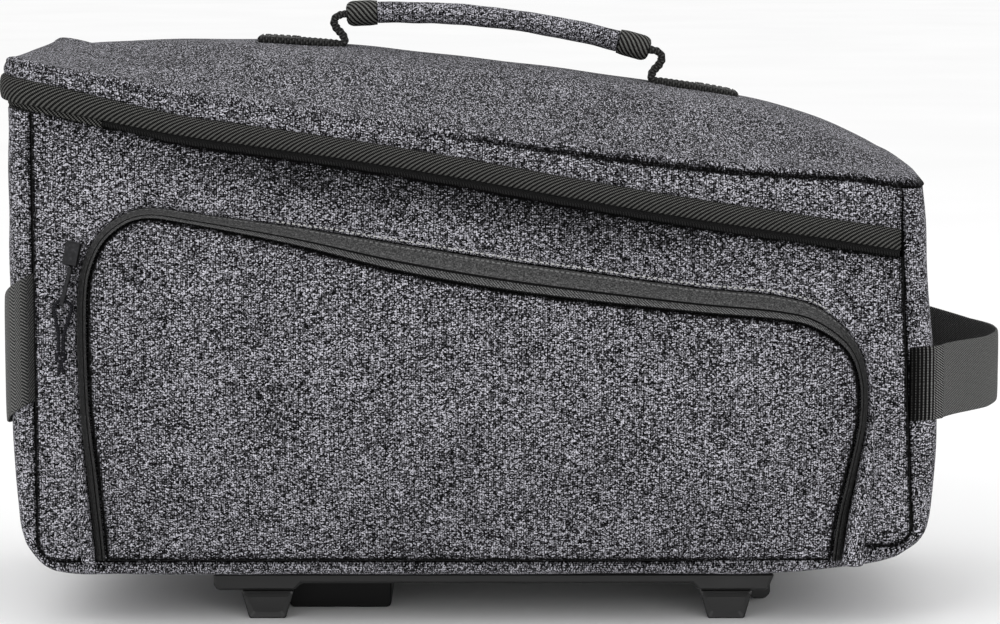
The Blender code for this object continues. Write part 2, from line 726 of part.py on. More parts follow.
def build_pocket_panel(name, side):
    """Crowned front of a side pocket, hollow behind, with rolled edges."""
    left, top, right = arch_lines(pocket_arch())
    bottom = np.array([left[0], right[0]])
    us = shares_with_edges(POCKET_LENGTH, 14, 0.7)
    vs = shares_with_edges(POCKET_HEIGHT, 8, 0.6)
    grid = coons(bottom, top, left, right, us, vs)
    x, z = grid[..., 0], grid[..., 1]
    u, v = np.meshgrid(us, vs)
    crown = POCKET_CROWN * (4 * u * (1 - u)) ** 0.7 * (4 * v * (1 - v)) ** 0.7
    depth = pocket_edge_depth(z) * (0.70 + 0.30 * rolled(edge_distance(grid))) + crown
    front = side_face(x, z) + depth
    outer = np.stack([x, side * front, z], -1)
    inner = np.stack([x, side * (front - POCKET_WALL), z], -1)
    add_shell(name, outer, inner, "heather_fabric")


def arch_frames():
    """Stations of the zip gusset: place on the panel's edge, outward direction, width."""
    rows = pocket_arch()
    left, top, right = arch_lines(rows)
    line = np.concatenate([left, top, right[::-1]])
    keep = np.concatenate([[True], np.linalg.norm(np.diff(line, axis=0), axis=1) > 1e-7])
    line = line[keep]
    run = np.concatenate([[0], np.cumsum(np.linalg.norm(np.diff(line, axis=0), axis=1))])
    row_run = [run[np.argmin(np.linalg.norm(line - row, axis=1))] for row in rows]
    middles = (np.array(row_run[1:]) + np.array(row_run[:-1])) / 2
    at = np.sort(np.concatenate([row_run, middles]))
    place = np.stack([np.interp(at, run, line[:, k]) for k in (0, 1)], 1)
    tangent = np.gradient(place, at, axis=0)
    tangent /= np.linalg.norm(tangent, axis=1)[:, None]
    outward = np.column_stack([-tangent[:, 1], tangent[:, 0]])
    width = np.interp(at, row_run, [r.zip for r in POCKET_ARCH]) * POCKET_ZIP_WIDTH
    return place, outward, width


def gusset_corner(place, outward, offset, depth):
    """Points at an offset from the panel's edge and a depth off the side panel."""
    flat = place + outward * np.reshape(offset, (-1, 1))
    return flat, side_face(flat[:, 0], flat[:, 1]) + depth


def build_pocket_zip(name, side):
    """Gusset with the zip, from the pocket panel's edge back to the side panel."""
    place, outward, width = arch_frames()
    front = pocket_edge_depth(place[:, 1]) * 0.92
    t = POCKET_ZIP_THICKNESS
    corners = [
        (GAP, front),
        (GAP + t, front),
        (width * 0.62, front * 0.52 + t * 0.6),
        (width, np.full(len(width), GAP)),
        (width - t * 1.2, np.full(len(width), GAP)),
        (width * 0.62 - t, front * 0.52 - t * 0.6),
    ]
    rings = []
    for offset, depth in corners:
        flat, y = gusset_corner(place, outward, np.broadcast_to(offset, len(width)), depth)
        rings.append(np.column_stack([flat[:, 0], side * y, flat[:, 1]]))
    add_sweep(name, np.stack(rings, axis=1), "zip_tape")


def slider_place():
    """Middle of the slider on the gusset, near the arch's tall corner."""
    row = POCKET_ARCH[4]
    x = TALL_SEAM_X + POCKET_OFFSET + row.along * POCKET_LENGTH
    z = SEAM_BOTTOM + POCKET_LIFT + row.up * POCKET_HEIGHT
    out = POCKET_ZIP_WIDTH * row.zip + SLIDER_WIDTH * 0.75
    return x - out, z + 0.3 * out


def oriented_box(name, centre, axes, size, finish):
    """A box with its middle, its three directions and its sizes along them."""
    corners = []
    for k in range(2):
        for a, b in ((-1, -1), (1, -1), (1, 1), (-1, 1)):
            signs = np.array([a, b, 2 * k - 1]) / 2
            corners.append(centre + (signs * size) @ axes)
    faces = [[0, 1, 2, 3], [4, 5, 6, 7]]
    faces += [[i, (i + 1) % 4, (i + 1) % 4 + 4, i + 4] for i in range(4)]
    return add_object(name, corners, faces, finish)


def puller_frame(side):
    """Upper end, lower end and directions of the puller, which hangs edge-on."""
    x, z = slider_place()
    top = np.array([x - SLIDER_WIDTH * 0.1, 0.0, z - SLIDER_LENGTH / 2 - GAP])
    slant = math.radians(14)
    down = np.array([-math.sin(slant), 0.0, -math.cos(slant)])
    flat = np.array([math.cos(slant), 0.0, -math.sin(slant)])
    reach = side_face(x, z) + PULLER_WIDTH / 2 + 2 * GAP
    top[1] = side * reach
    return top, down, flat


def build_slider(name, side):
    """Zip slider with its bridge, outside the gusset."""
    x, z = slider_place()
    y = side_face(x, z) + GAP * 2 + SLIDER_THICKNESS / 2 + PULLER_WIDTH * 0.25
    tilt = math.radians(12)
    axes = np.array(
        [
            [math.cos(tilt), 0.0, -math.sin(tilt)],
            [0.0, 1.0, 0.0],
            [math.sin(tilt), 0.0, math.cos(tilt)],
        ]
    )
    size = np.array([SLIDER_WIDTH, SLIDER_THICKNESS, SLIDER_LENGTH])
    made = oriented_box(name, np.array([x, side * y, z]), axes, size, "dark_metal")
    add_bevel(made, 0.0006)


def build_puller(name, side):
    """Flat tab with a hole near its lower end for the cord."""
    top, down, flat = puller_frame(side)
    across = np.array([0.0, 1.0, 0.0])
    hole = PULLER_LENGTH - PULLER_WIDTH / 2
    outline = []
    half = PULLER_WIDTH / 2
    outline.append((0.0, half))
    for turn in np.radians(np.linspace(90, -90, 7)):
        outline.append((hole + half * math.cos(turn), half * math.sin(turn)))
    outline.append((0.0, -half))
    inner = [
        (hole - PULLER_HOLE_RADIUS * math.cos(turn), PULLER_HOLE_RADIUS * math.sin(turn))
        for turn in np.radians(np.linspace(0, 360, 8, endpoint=False))
    ]
    work = bmesh.new()
    loops = []
    for ring in (outline, inner):
        verts = []
        for along, wide in ring:
            start = top + down * along + across * wide - flat * (PULLER_THICKNESS / 2)
            verts.append(work.verts.new(start))
        edges = [work.edges.new((a, b)) for a, b in zip(verts, verts[1:] + verts[:1])]
        loops += edges
    bmesh.ops.triangle_fill(work, use_beauty=True, use_dissolve=False, edges=loops)
    pushed = bmesh.ops.extrude_face_region(work, geom=work.faces[:])
    moved = [v for v in pushed["geom"] if isinstance(v, bmesh.types.BMVert)]
    bmesh.ops.translate(work, verts=moved, vec=flat * PULLER_THICKNESS)
    bmesh.ops.recalc_face_normals(work, faces=work.faces)
    mesh = bpy.data.meshes.new(name)
    work.to_mesh(mesh)
    work.free()
    mesh.materials.append(material("dark_metal"))
    made = bpy.data.objects.new(name, mesh)
    bpy.context.scene.collection.objects.link(made)


def cord_route(side):
    """Route of the cord: up from the knot, round through the puller and down again."""
    top, down, flat = puller_frame(side)
    hole = top + down * (PULLER_LENGTH - PULLER_WIDTH / 2)
    r = CORD_LOOP_RADIUS
    strand = CORD_DIAMETER / 2 + GAP
    face = float(side_face(hole[0], hole[2] - CORD_DROP))
    rest = side * (face + CORD_DIAMETER / 2 + 3 * GAP)
    points = []
    foot_z = hole[2] - CORD_DROP
    for sign in (-1, 1):
        leg = [
            (sign * strand - CORD_SWAY, rest, foot_z),
            (sign * strand - CORD_SWAY * 0.8, rest, foot_z + CORD_DROP * 0.28),
            (
                sign * (strand + r) / 2 - CORD_SWAY * 0.4,
                rest + (hole[1] - rest) * 0.4,
                foot_z + CORD_DROP * 0.58,
            ),
            (sign * r, hole[1], hole[2] - r),
            (sign * r * 0.71, hole[1], hole[2] - r * 0.29),
        ]
        points.append([np.array([hole[0] + x, y, z]) for x, y, z in leg])
    return points[0] + [hole.copy()] + points[1][::-1]


def build_cord(name, side):
    """Cord loop through the puller, as a round tube on one open line."""
    line = smooth_curve(cord_route(side), 22)
    curve = bpy.data.curves.new(name, "CURVE")
    curve.dimensions = "3D"
    curve.bevel_depth = CORD_DIAMETER / 2
    curve.bevel_resolution = 1
    curve.use_fill_caps = True
    spline = curve.splines.new("POLY")
    spline.points.add(len(line) - 1)
    for point, place in zip(spline.points, line):
        point.co = (*place, 1.0)
    curve.materials.append(material("cord"))
    made = bpy.data.objects.new(name, curve)
    bpy.context.scene.collection.objects.link(made)


def build_knot(name, side):
    """Knot below the cord loop, with its short trimmed tail."""
    route = cord_route(side)
    top = (route[0] + route[-1]) / 2 - np.array([0.0, 0.0, GAP])
    profile = ((0.0, 0.55), (0.12, 0.95), (0.32, 1.0), (0.48, 0.72), (0.60, 0.34), (1.0, 0.22))
    face = side * (float(side_face(top[0], top[2])) + GAP * 2)
    rings = []
    for share, wide in profile:
        radius = KNOT_RADIUS * wide
        turns = np.linspace(0, 2 * math.pi, 8, endpoint=False)
        y = top[1] + radius * 0.8 * np.sin(turns)
        y = side * np.maximum(side * y, side * face)
        x = top[0] - 0.0012 * share + radius * np.cos(turns)
        rings.append(np.column_stack([x, y, np.full(8, top[2] - KNOT_LENGTH * share)]))
    add_sweep(name, np.array(rings), "cord")


def grip_line(count, start=0.0, end=1.0):
    """Centre line of the grip, from the tall side to the low side."""
    shares = np.linspace(start, end, count)
    x = HANDLE_SHIFT - GRIP_LENGTH / 2 + GRIP_LENGTH * shares
    ends = [HANDLE_SHIFT - GRIP_LENGTH / 2, HANDLE_SHIFT + GRIP_LENGTH / 2]
    z_ends = [float(lid_face(e)) + GRIP_CLEARANCE for e in ends]
    z = z_ends[0] + (z_ends[1] - z_ends[0]) * shares + GRIP_ARCH * 4 * shares * (1 - shares)
    return np.column_stack([x, np.zeros(count), z])


def tube(line, half_height, half_width, scales, sides=12):
    """Oval rings square to a line that runs in the plane of X and Z."""
    tangent = np.gradient(line, axis=0)
    tangent /= np.linalg.norm(tangent, axis=1)[:, None]
    up = np.column_stack([-tangent[:, 2], np.zeros(len(line)), tangent[:, 0]])
    turns = np.linspace(0, 2 * math.pi, sides, endpoint=False)
    rings = []
    for place, direction, scale in zip(line, up, scales):
        high = np.outer(np.sin(turns) * half_height * scale, direction)
        wide = np.outer(np.cos(turns) * half_width * scale, [0.0, 1.0, 0.0])
        rings.append(place + high + wide)
    return np.array(rings)


def wrap_shares(sign):
    """Start and end of an end wrap, as shares of the grip's length."""
    length = WRAP_LENGTH / GRIP_LENGTH
    gap = GAP / GRIP_LENGTH
    return (-length - gap, -gap) if sign < 0 else (1 + gap, 1 + length + gap)


def build_grip():
    """Padded tube of the handle."""
    line = grip_line(11)
    scales = np.ones(len(line))
    add_sweep("handle_grip", tube(line, GRIP_HEIGHT / 2, GRIP_WIDTH / 2, scales), "heather_fabric")


def build_grip_wrap(name, sign):
    """Tape wound over the end of the grip, rounded at its outer end."""
    start, end = wrap_shares(sign)
    line = grip_line(6, start, end)
    scales = np.array([0.55, 0.90, 1.0, 1.0, 1.0, 0.95])
    if sign > 0:
        scales = scales[::-1]
    half_height = GRIP_HEIGHT / 2 + WRAP_THICKNESS
    half_width = GRIP_WIDTH / 2 + WRAP_THICKNESS
    add_sweep(name, tube(line, half_height, half_width, scales, 10), "twill_tape")


def strap_line(sign):
    """Centre line of a strap: sewn to the lid, then up into the grip's end."""
    start, end = wrap_shares(sign)
    wrap_end = grip_line(2, start, end)[0 if sign < 0 else -1]
    foot_x = wrap_end[0] + sign * STRAP_SWAY * 0.4
    above = STRAP_THICKNESS / 2 + 2 * GAP
    sewn = []
    for share in (1.0, 0.75, 0.5, 0.25, 0.1):
        x = foot_x + sign * STRAP_LENGTH * share
        sewn.append((x, float(lid_face(x)) + above))
    low = float(lid_face(foot_x)) + above
    high = wrap_end[2]
    rise = []
    for row in STRAP_RISE:
        rise.append((wrap_end[0] + sign * (STRAP_SWAY * row.out + 2 * GAP), low + (high - low) * row.up))
    points = np.array(sewn + rise)
    line = smooth_curve(points, 22)
    return np.column_stack([line[:, 0], np.zeros(len(line)), line[:, 1]])


def build_strap(name, sign):
    """Flat webbing of the handle, narrower where it enters the grip."""
    line = strap_line(sign)
    tangent = np.gradient(line, axis=0)
    tangent /= np.linalg.norm(tangent, axis=1)[:, None]
    up = np.column_stack([-tangent[:, 2], np.zeros(len(line)), tangent[:, 0]])
    shares = np.linspace(0, 1, len(line))
    half = STRAP_WIDTH / 2 - (STRAP_WIDTH - GRIP_WIDTH) / 2 * smooth_step((shares - 0.45) / 0.35)
    rings = []
    for side, face in ((-1, 1), (1, 1), (1, -1), (-1, -1)):
        wide = np.outer(side * half, [0.0, 1.0, 0.0])
        rings.append(line + wide + up * (face * STRAP_THICKNESS / 2))
    add_sweep(name, np.stack(rings, axis=1), "webbing")


def low_end_face(across, z):
    """The low end panel's outer face at a height and a share across."""
    rows = [row for row in WRAP_SECTIONS if row.stretch == "low"]
    heights = [seam_point("low", row.share)[0][1] for row in rows]
    depth = np.interp(z, heights, [wrap_depth(row) for row in rows])
    return low_seam_x(z) + depth * bulge(across)


def offset_plan(line, distance):
    """A line in plan, moved to its right-hand side."""
    tangent = np.gradient(line, axis=0)
    tangent /= np.linalg.norm(tangent, axis=1)[:, None]
    return line + np.column_stack([tangent[:, 1], -tangent[:, 0]]) * distance


def build_pull_loop():
    """Webbing loop sewn into the two seams of the low end."""
    half = [(row.across, row.out) for row in LOOP_ROUTE]
    route = np.array([(-a, o) for a, o in half] + [(0.0, 1.0)] + half[::-1])
    across, out = route[:, 0], route[:, 1]
    reach = LOOP_WIDTH / 2 + LOOP_SAG
    heights = LOOP_HEIGHT - reach, LOOP_HEIGHT, LOOP_HEIGHT + LOOP_WIDTH / 2
    face = np.max([low_end_face(across, z) for z in heights], axis=0)
    tip = LOW_X + LOOP_REACH - LOOP_THICKNESS - 2 * GAP
    face = face + (tip - face) * out
    line = np.column_stack([face, across * WRAP_HALF_WIDTH])
    centre = offset_plan(line, 2 * GAP + LOOP_THICKNESS / 2)
    sag = LOOP_SAG * np.minimum(out * 1.3, 1.0)
    rings = []
    for side, share in ((1, 0.5), (1, -0.5), (-1, -0.5), (-1, 0.5)):
        flat = offset_plan(centre, side * LOOP_THICKNESS / 2)
        rings.append(np.column_stack([flat, LOOP_HEIGHT - sag + LOOP_WIDTH * share]))
    add_sweep("pull_loop", np.stack(rings, axis=1), "webbing")


def build_light_band():
    """Twill band that sags across the tall end, sewn into both seams."""
    across = mirrored(WRAP_ACROSS)
    sag = LIGHT_BAND_SAG * (1 - np.abs(across) ** 2.5)
    face = np.column_stack([TALL_SEAM_X - TALL_BULGE * bulge(across), across * WRAP_HALF_WIDTH])
    outer, inner = [], []
    for share in (0.5, 0.17, -0.17, -0.5):
        z = LIGHT_BAND_CENTRE - sag + LIGHT_BAND_HEIGHT * share
        inner.append(np.column_stack([offset_plan(face, -2 * GAP), z]))
        outer.append(np.column_stack([offset_plan(face, -BAND_STAND_OFF), z]))
    add_shell("light_band", np.array(outer), np.array(inner), "twill_tape")


def build_plate():
    """Adapter plate under the base, thicker at its two end pads."""
    tall, low = PLATE_SHIFT - PLATE_LENGTH / 2, PLATE_SHIFT + PLATE_LENGTH / 2
    top = UNDERSIDE - GAP
    pad, plate = top - PAD_THICKNESS, top - PLATE_THICKNESS
    slope = PAD_THICKNESS - PLATE_THICKNESS
    profile = [
        (tall, top),
        (low, top),
        (low - slope, pad),
        (low - LOW_PAD_LENGTH, pad),
        (low - LOW_PAD_LENGTH - slope, plate),
        (tall + TALL_PAD_LENGTH + slope, plate),
        (tall + TALL_PAD_LENGTH, pad),
        (tall + slope / 2, pad),
        (tall, pad + slope / 2),
    ]
    rings = [[(x, y, z) for x, z in profile] for y in (-PLATE_HALF_WIDTH, PLATE_HALF_WIDTH)]
    made = add_sweep("rack_plate", np.array(rings), "adapter_plastic")
    add_bevel(made, PLATE_BEVEL)


def foot_centres():
    """Middle of the feet under the tall and the low pad."""
    tall = PLATE_SHIFT - PLATE_LENGTH / 2 + TALL_PAD_LENGTH - FOOT_TOP_LENGTH / 2 - GAP
    low = PLATE_SHIFT + PLATE_LENGTH / 2 - LOW_PAD_LENGTH + FOOT_TOP_LENGTH / 2 + GAP
    return tall, low


def build_foot(name, centre_x, side):
    """Tapered foot with a recess between two ribs on its outer face."""
    work = bmesh.new()
    outer_y = side * PLATE_HALF_WIDTH
    inner_y = side * (PLATE_HALF_WIDTH - FOOT_DEPTH)
    levels = ((FOOT_DROP - GAP, FOOT_TOP_LENGTH / 2), (0.0, FOOT_FLOOR_LENGTH / 2))
    corners = []
    for z, half in levels:
        for x, y in ((-half, outer_y), (half, outer_y), (half, inner_y), (-half, inner_y)):
            corners.append(work.verts.new((centre_x + x, y, z)))
    for i in range(4):
        j = (i + 1) % 4
        work.faces.new([corners[i], corners[j], corners[j + 4], corners[i + 4]])
    work.faces.new(corners[:4])
    work.faces.new(corners[4:])
    bmesh.ops.recalc_face_normals(work, faces=work.faces)
    work.faces.ensure_lookup_table()
    front = max(work.faces, key=lambda face: side * face.calc_center_median().y)
    bmesh.ops.inset_region(work, faces=[front], thickness=FOOT_RIB, depth=-FOOT_RECESS)
    mesh = bpy.data.meshes.new(name)
    work.to_mesh(mesh)
    work.free()
    mesh.materials.append(material("adapter_plastic"))
    made = bpy.data.objects.new(name, mesh)
    bpy.context.scene.collection.objects.link(made)
    add_bevel(made, PLATE_BEVEL * 0.6)


def build_block(name, top, half_width, bottom, chamfer):
    """Block under the adapter: the line of its top, its bottom and cut-back lower edges."""
    x_start, x_end = top[0][0], top[-1][0]
    profile = list(top) + [
        (x_end, bottom + chamfer),
        (x_end - chamfer, bottom),
        (x_start + chamfer, bottom),
        (x_start, bottom + chamfer),
    ]
    rings = [[(x, y, z) for x, z in profile] for y in (-half_width, half_width)]
    made = add_sweep(name, np.array(rings), "adapter_plastic")
    add_bevel(made, PLATE_BEVEL * 0.6)


def build_adapter():
    """Plate, four feet, latch housing and front hook."""
    build_plate()
    tall_x, low_x = foot_centres()
    for end, centre_x in (("tall", tall_x), ("low", low_x)):
        for side_name in SIDES:
            build_foot(f"foot_{end}_{side_name}", centre_x, side_sign(side_name))
    plate_z = UNDERSIDE - 2 * GAP - PLATE_THICKNESS
    pad_z = UNDERSIDE - 2 * GAP - PAD_THICKNESS
    pad_end = PLATE_SHIFT - PLATE_LENGTH / 2 + TALL_PAD_LENGTH
    start = pad_end - LATCH_UNDER_PAD
    latch_top = [
        (start, pad_z),
        (pad_end, pad_z),
        (pad_end + plate_z - pad_z, plate_z),
        (start + LATCH_LENGTH, plate_z),
    ]
    build_block("latch_housing", latch_top, LATCH_HALF_WIDTH, plate_z - LATCH_DROP, 0.0012)
    start = low_x + FOOT_TOP_LENGTH / 2 + HOOK_CLEARANCE
    hook_top = [(start, pad_z), (start + HOOK_LENGTH, pad_z)]
    build_block("front_hook", hook_top, HOOK_HALF_WIDTH, pad_z - HOOK_DROP, 0.0022)


def build_pockets():
    """The pocket on each side, with its zip and pull."""
    for side_name in SIDES:
        side = side_sign(side_name)
        build_pocket_panel(f"pocket_panel_{side_name}", side)
        build_pocket_zip(f"pocket_zip_{side_name}", side)
        build_slider(f"zip_slider_{side_name}", side)
        build_puller(f"zip_puller_{side_name}", side)
        build_cord(f"pull_cord_{side_name}", side)
        build_knot(f"cord_knot_{side_name}", side)


def build_handle():
    """Grip, its two end wraps and the two straps sewn to the lid."""
    build_grip()
    for end, sign in (("tall", -1), ("low", 1)):
        build_grip_wrap(f"handle_wrap_{end}", sign)
        build_strap(f"handle_strap_{end}", sign)


def main():
    for old in list(bpy.data.objects):
        bpy.data.objects.remove(old, do_unlink=True)
    for side_name in SIDES:
        build_side_panel(f"side_panel_{side_name}", side_sign(side_name))
    build_wrap()
    build_lid_top()
    build_lid_band()
    build_main_zip()
    build_zip_flap()
    build_rim_tape()
    build_pockets()
    build_handle()
    build_pull_loop()
    build_light_band()
    build_adapter()


main()
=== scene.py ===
"""Looks of a bicycle trunk bag: fabric, webbing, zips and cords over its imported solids."""
from collections import namedtuple
import math

import bmesh
import bpy
import numpy as np
from bpy.props import FloatProperty, FloatVectorProperty, PointerProperty
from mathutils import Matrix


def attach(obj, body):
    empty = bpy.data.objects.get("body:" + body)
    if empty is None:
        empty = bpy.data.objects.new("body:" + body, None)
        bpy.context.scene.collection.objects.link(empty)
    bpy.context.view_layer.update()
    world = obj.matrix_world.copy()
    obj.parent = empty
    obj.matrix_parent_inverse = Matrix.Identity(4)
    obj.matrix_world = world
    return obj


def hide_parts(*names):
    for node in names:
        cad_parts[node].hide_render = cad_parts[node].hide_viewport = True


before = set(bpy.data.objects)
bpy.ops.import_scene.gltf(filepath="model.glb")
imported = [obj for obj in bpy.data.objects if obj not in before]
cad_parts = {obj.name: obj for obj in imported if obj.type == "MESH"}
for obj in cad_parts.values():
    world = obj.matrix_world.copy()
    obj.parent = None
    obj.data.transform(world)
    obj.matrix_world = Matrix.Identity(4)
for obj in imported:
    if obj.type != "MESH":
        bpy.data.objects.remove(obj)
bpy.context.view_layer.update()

bl_info = {
    "name": "Trunk Bag Looks",
    "version": (1, 0, 0),
    "blender": (4, 5, 0),
    "location": "3D View > Sidebar > Trunk Bag",
    "description": "Fabric, webbing, zips, cords and adapter finish of a bicycle trunk bag",
    "category": "Object",
}

# Sizes of the solids, in metres
BODY_LENGTH = 0.3690
LOOP_REACH = 0.0292
SEAM_HALF_WIDTH = 0.0865
TALL_HEIGHT = 0.1989
LOW_HEIGHT = 0.1395
WALL = 0.003
GAP = 0.0003
EDGE = 0.0008
EDGE_ROLL = 0.0045
UNDERSIDE = 0.0186
SEAM_CORNER_RADIUS = 0.008
LOW_LEAN = 0.006
LOW_SEAM_RISE = 0.0060
TALL_BULGE = 0.0127
LOW_BULGE = 0.0150
BASE_BULGE = 0.0090
BULGE_POWER = 5.0
SIDE_CROWN = 0.0035
LID_CORNER_RADIUS = 0.014
LID_INSET = 0.0020
BAND_HEIGHT = 0.0169
CROWN_RISE = 0.0235
CROWN_POWER = 2.3
END_DIP = 0.0025
FLAP_HEIGHT = 0.0078
FLAP_THICKNESS = 0.0022
FLAP_OVERLAP = 0.0040
FLAP_SAG = 0.0040
SLOT_SHOW = 0.0034
ZIP_THICKNESS = 0.0012
ZIP_INSET = 0.0016
RIM_TAPE_THICKNESS = 0.0009
RIM_TAPE_LENGTH = 0.026
POCKET_LENGTH = 0.2965
POCKET_HEIGHT = 0.1340
POCKET_OFFSET = 0.0223
POCKET_LIFT = 0.0012
POCKET_DEPTH = 0.0115
POCKET_FOOT_DEPTH = 0.0050
POCKET_CROWN = 0.0040
POCKET_ZIP_WIDTH = 0.0105
SLIDER_LENGTH = 0.0095
SLIDER_WIDTH = 0.0060
PULLER_LENGTH = 0.0160
PULLER_WIDTH = 0.0050
CORD_DIAMETER = 0.0014
CORD_LOOP_RADIUS = 0.0034
CORD_DROP = 0.0200
CORD_SWAY = 0.0012
KNOT_LENGTH = 0.0095
KNOT_RADIUS = 0.0026
HANDLE_SHIFT = -0.0055
GRIP_LENGTH = 0.0980
GRIP_HEIGHT = 0.0086
GRIP_WIDTH = 0.0125
GRIP_CLEARANCE = 0.0158
GRIP_ARCH = 0.0035
WRAP_LENGTH = 0.0125
WRAP_THICKNESS = 0.0009
STRAP_WIDTH = 0.020
STRAP_THICKNESS = 0.0022
STRAP_LENGTH = 0.034
STRAP_SWAY = 0.0045
LOOP_WIDTH = 0.0290
LOOP_THICKNESS = 0.0016
LOOP_HEIGHT = 0.0972
LOOP_SAG = 0.0030
LIGHT_BAND_HEIGHT = 0.0500
LIGHT_BAND_CENTRE = 0.1155
LIGHT_BAND_SAG = 0.0150
LIGHT_BAND_THICKNESS = 0.0015

SEAM_BOTTOM = UNDERSIDE + BASE_BULGE
BAND_STAND_OFF = 2 * GAP + LIGHT_BAND_THICKNESS
TALL_X = -(BODY_LENGTH + LOOP_REACH + BAND_STAND_OFF) / 2 + BAND_STAND_OFF
LOW_X = TALL_X + BODY_LENGTH
TALL_SEAM_X = TALL_X + TALL_BULGE
LOW_SEAM_X = LOW_X - LOW_BULGE
HINGE_X = LOW_SEAM_X - LOW_LEAN
LID_TALL_X = TALL_X + LID_INSET
OUTER_HALF_WIDTH = SEAM_HALF_WIDTH + WALL
WRAP_HALF_WIDTH = SEAM_HALF_WIDTH - GAP
LID_LENGTH = HINGE_X - LID_TALL_X

# Lid from the tall edge to the low seam: shares of the sag, band, crown and flap heights
LidRow = namedtuple("LidRow", "along sag crease crown flap")
LID_SECTIONS = (
    LidRow(0.000, 0.00, 0.22, 0.00, 1.25),
    LidRow(0.012, 0.02, 0.22, 0.03, 1.25),
    LidRow(0.040, 0.10, 0.22, 0.11, 1.22),
    LidRow(0.085, 0.34, 0.25, 0.28, 1.16),
    LidRow(0.135, 0.66, 0.30, 0.45, 1.08),
    LidRow(0.200, 0.92, 0.34, 0.65, 1.00),
    LidRow(0.270, 0.76, 0.32, 0.79, 1.00),
    LidRow(0.360, 0.53, 0.32, 0.88, 1.00),
    LidRow(0.450, 0.42, 0.36, 0.94, 1.00),
    LidRow(0.540, 0.42, 0.41, 0.98, 1.00),
    LidRow(0.630, 0.50, 0.49, 0.98, 1.00),
    LidRow(0.710, 0.53, 0.57, 0.96, 1.00),
    LidRow(0.790, 0.46, 0.66, 0.89, 1.00),
    LidRow(0.850, 0.35, 0.75, 0.74, 1.00),
    LidRow(0.900, 0.22, 0.84, 0.53, 1.00),
    LidRow(0.945, 0.11, 0.92, 0.27, 1.02),
    LidRow(0.980, 0.03, 0.94, 0.09, 1.05),
    LidRow(1.000, 0.00, 0.92, 0.02, 1.05),
)

# Panel round the ends and the base. At counts the stretches: tall end 0 to 1, its corner
# to 2, the base to 3, the low corner to 4, the low end to 5. Depth is in metres.
WrapRow = namedtuple("WrapRow", "at depth")
WRAP_SECTIONS = (
    WrapRow(0.00, 0.01270), WrapRow(0.30, 0.01270), WrapRow(0.60, 0.01270),
    WrapRow(0.80, 0.01257), WrapRow(0.91, 0.01105), WrapRow(1.00, 0.00813),
    WrapRow(1.33, 0.00579), WrapRow(1.67, 0.00624), WrapRow(2.00, 0.00756),
    WrapRow(2.08, 0.00891), WrapRow(2.20, 0.00900), WrapRow(2.50, 0.00900),
    WrapRow(2.75, 0.00900), WrapRow(2.92, 0.01260), WrapRow(3.00, 0.00855),
    WrapRow(3.33, 0.00648), WrapRow(3.67, 0.00777), WrapRow(4.00, 0.00960),
    WrapRow(4.08, 0.01230), WrapRow(4.20, 0.01455), WrapRow(4.42, 0.01500),
    WrapRow(4.75, 0.01305), WrapRow(5.00, 0.01200),
)

# Arch of a pocket: shares of its length, its height and its zip's width
ArchRow = namedtuple("ArchRow", "along up zip")
POCKET_ARCH = (
    ArchRow(0.018, 0.000, 0.45), ArchRow(0.010, 0.250, 0.52), ArchRow(0.001, 0.480, 0.50),
    ArchRow(0.000, 0.760, 0.50), ArchRow(0.009, 0.875, 0.45), ArchRow(0.032, 0.955, 0.38),
    ArchRow(0.073, 1.000, 0.33), ArchRow(0.138, 0.983, 0.36), ArchRow(0.269, 0.925, 0.60),
    ArchRow(0.399, 0.853, 0.92), ArchRow(0.530, 0.800, 1.00), ArchRow(0.661, 0.762, 0.96),
    ArchRow(0.791, 0.731, 0.84), ArchRow(0.897, 0.709, 0.80), ArchRow(0.942, 0.685, 0.70),
    ArchRow(0.982, 0.624, 0.50), ArchRow(0.999, 0.538, 0.42), ArchRow(1.000, 0.421, 0.42),
    ArchRow(0.988, 0.277, 0.45), ArchRow(0.975, 0.132, 0.48), ArchRow(0.968, 0.000, 0.45),
)
ARCH_TALL_CORNER = 5
ARCH_LOW_CORNER = 15

LoopRow = namedtuple("LoopRow", "across out")
LOOP_ROUTE = (
    LoopRow(1.000, 0.00), LoopRow(0.955, 0.00), LoopRow(0.870, 0.03), LoopRow(0.720, 0.20),
    LoopRow(0.550, 0.45), LoopRow(0.380, 0.70), LoopRow(0.230, 0.88), LoopRow(0.110, 0.98),
)
RiseRow = namedtuple("RiseRow", "out up")
STRAP_RISE = (
    RiseRow(0.30, 0.00), RiseRow(0.05, 0.12), RiseRow(0.25, 0.32), RiseRow(0.75, 0.52),
    RiseRow(1.00, 0.74), RiseRow(0.75, 0.92), RiseRow(0.10, 1.00),
)
SIDES = (("near", -1.0), ("far", 1.0))
ROLL_TAIL = 0.0022
# Folds of a side panel: start and end of each as x, z, and its depth
SIDE_FOLDS = ((0.1262, 0.1330, 0.1390, 0.1200, 0.0010), (-0.1925, 0.0370, -0.1790, 0.0318, 0.0008),
              (0.1430, 0.0340, 0.1560, 0.0372, 0.0008))


# ---------------------------------------------------------------- curves and sections


def smooth_step(value):
    """0 to 1 with level ends: 3t^2 - 2t^3."""
    value = np.clip(value, 0.0, 1.0)
    return value * value * (3 - 2 * value)


def read_curve(x, y, at):
    """Cubic through points (x, y), each slope taken from its two neighbours."""
    x, y = np.asarray(x, float), np.asarray(y, float)
    slope = np.gradient(y, x)
    at = np.clip(np.asarray(at, float), x[0], x[-1])
    i = np.clip(np.searchsorted(x, at, side="right") - 1, 0, len(x) - 2)
    step = x[i + 1] - x[i]
    t = (at - x[i]) / step
    hold = smooth_step(t)
    bend = slope[i] * t * (1 - t) ** 2 - slope[i + 1] * (1 - t) * t**2
    return y[i] * (1 - hold) + y[i + 1] * hold + bend * step


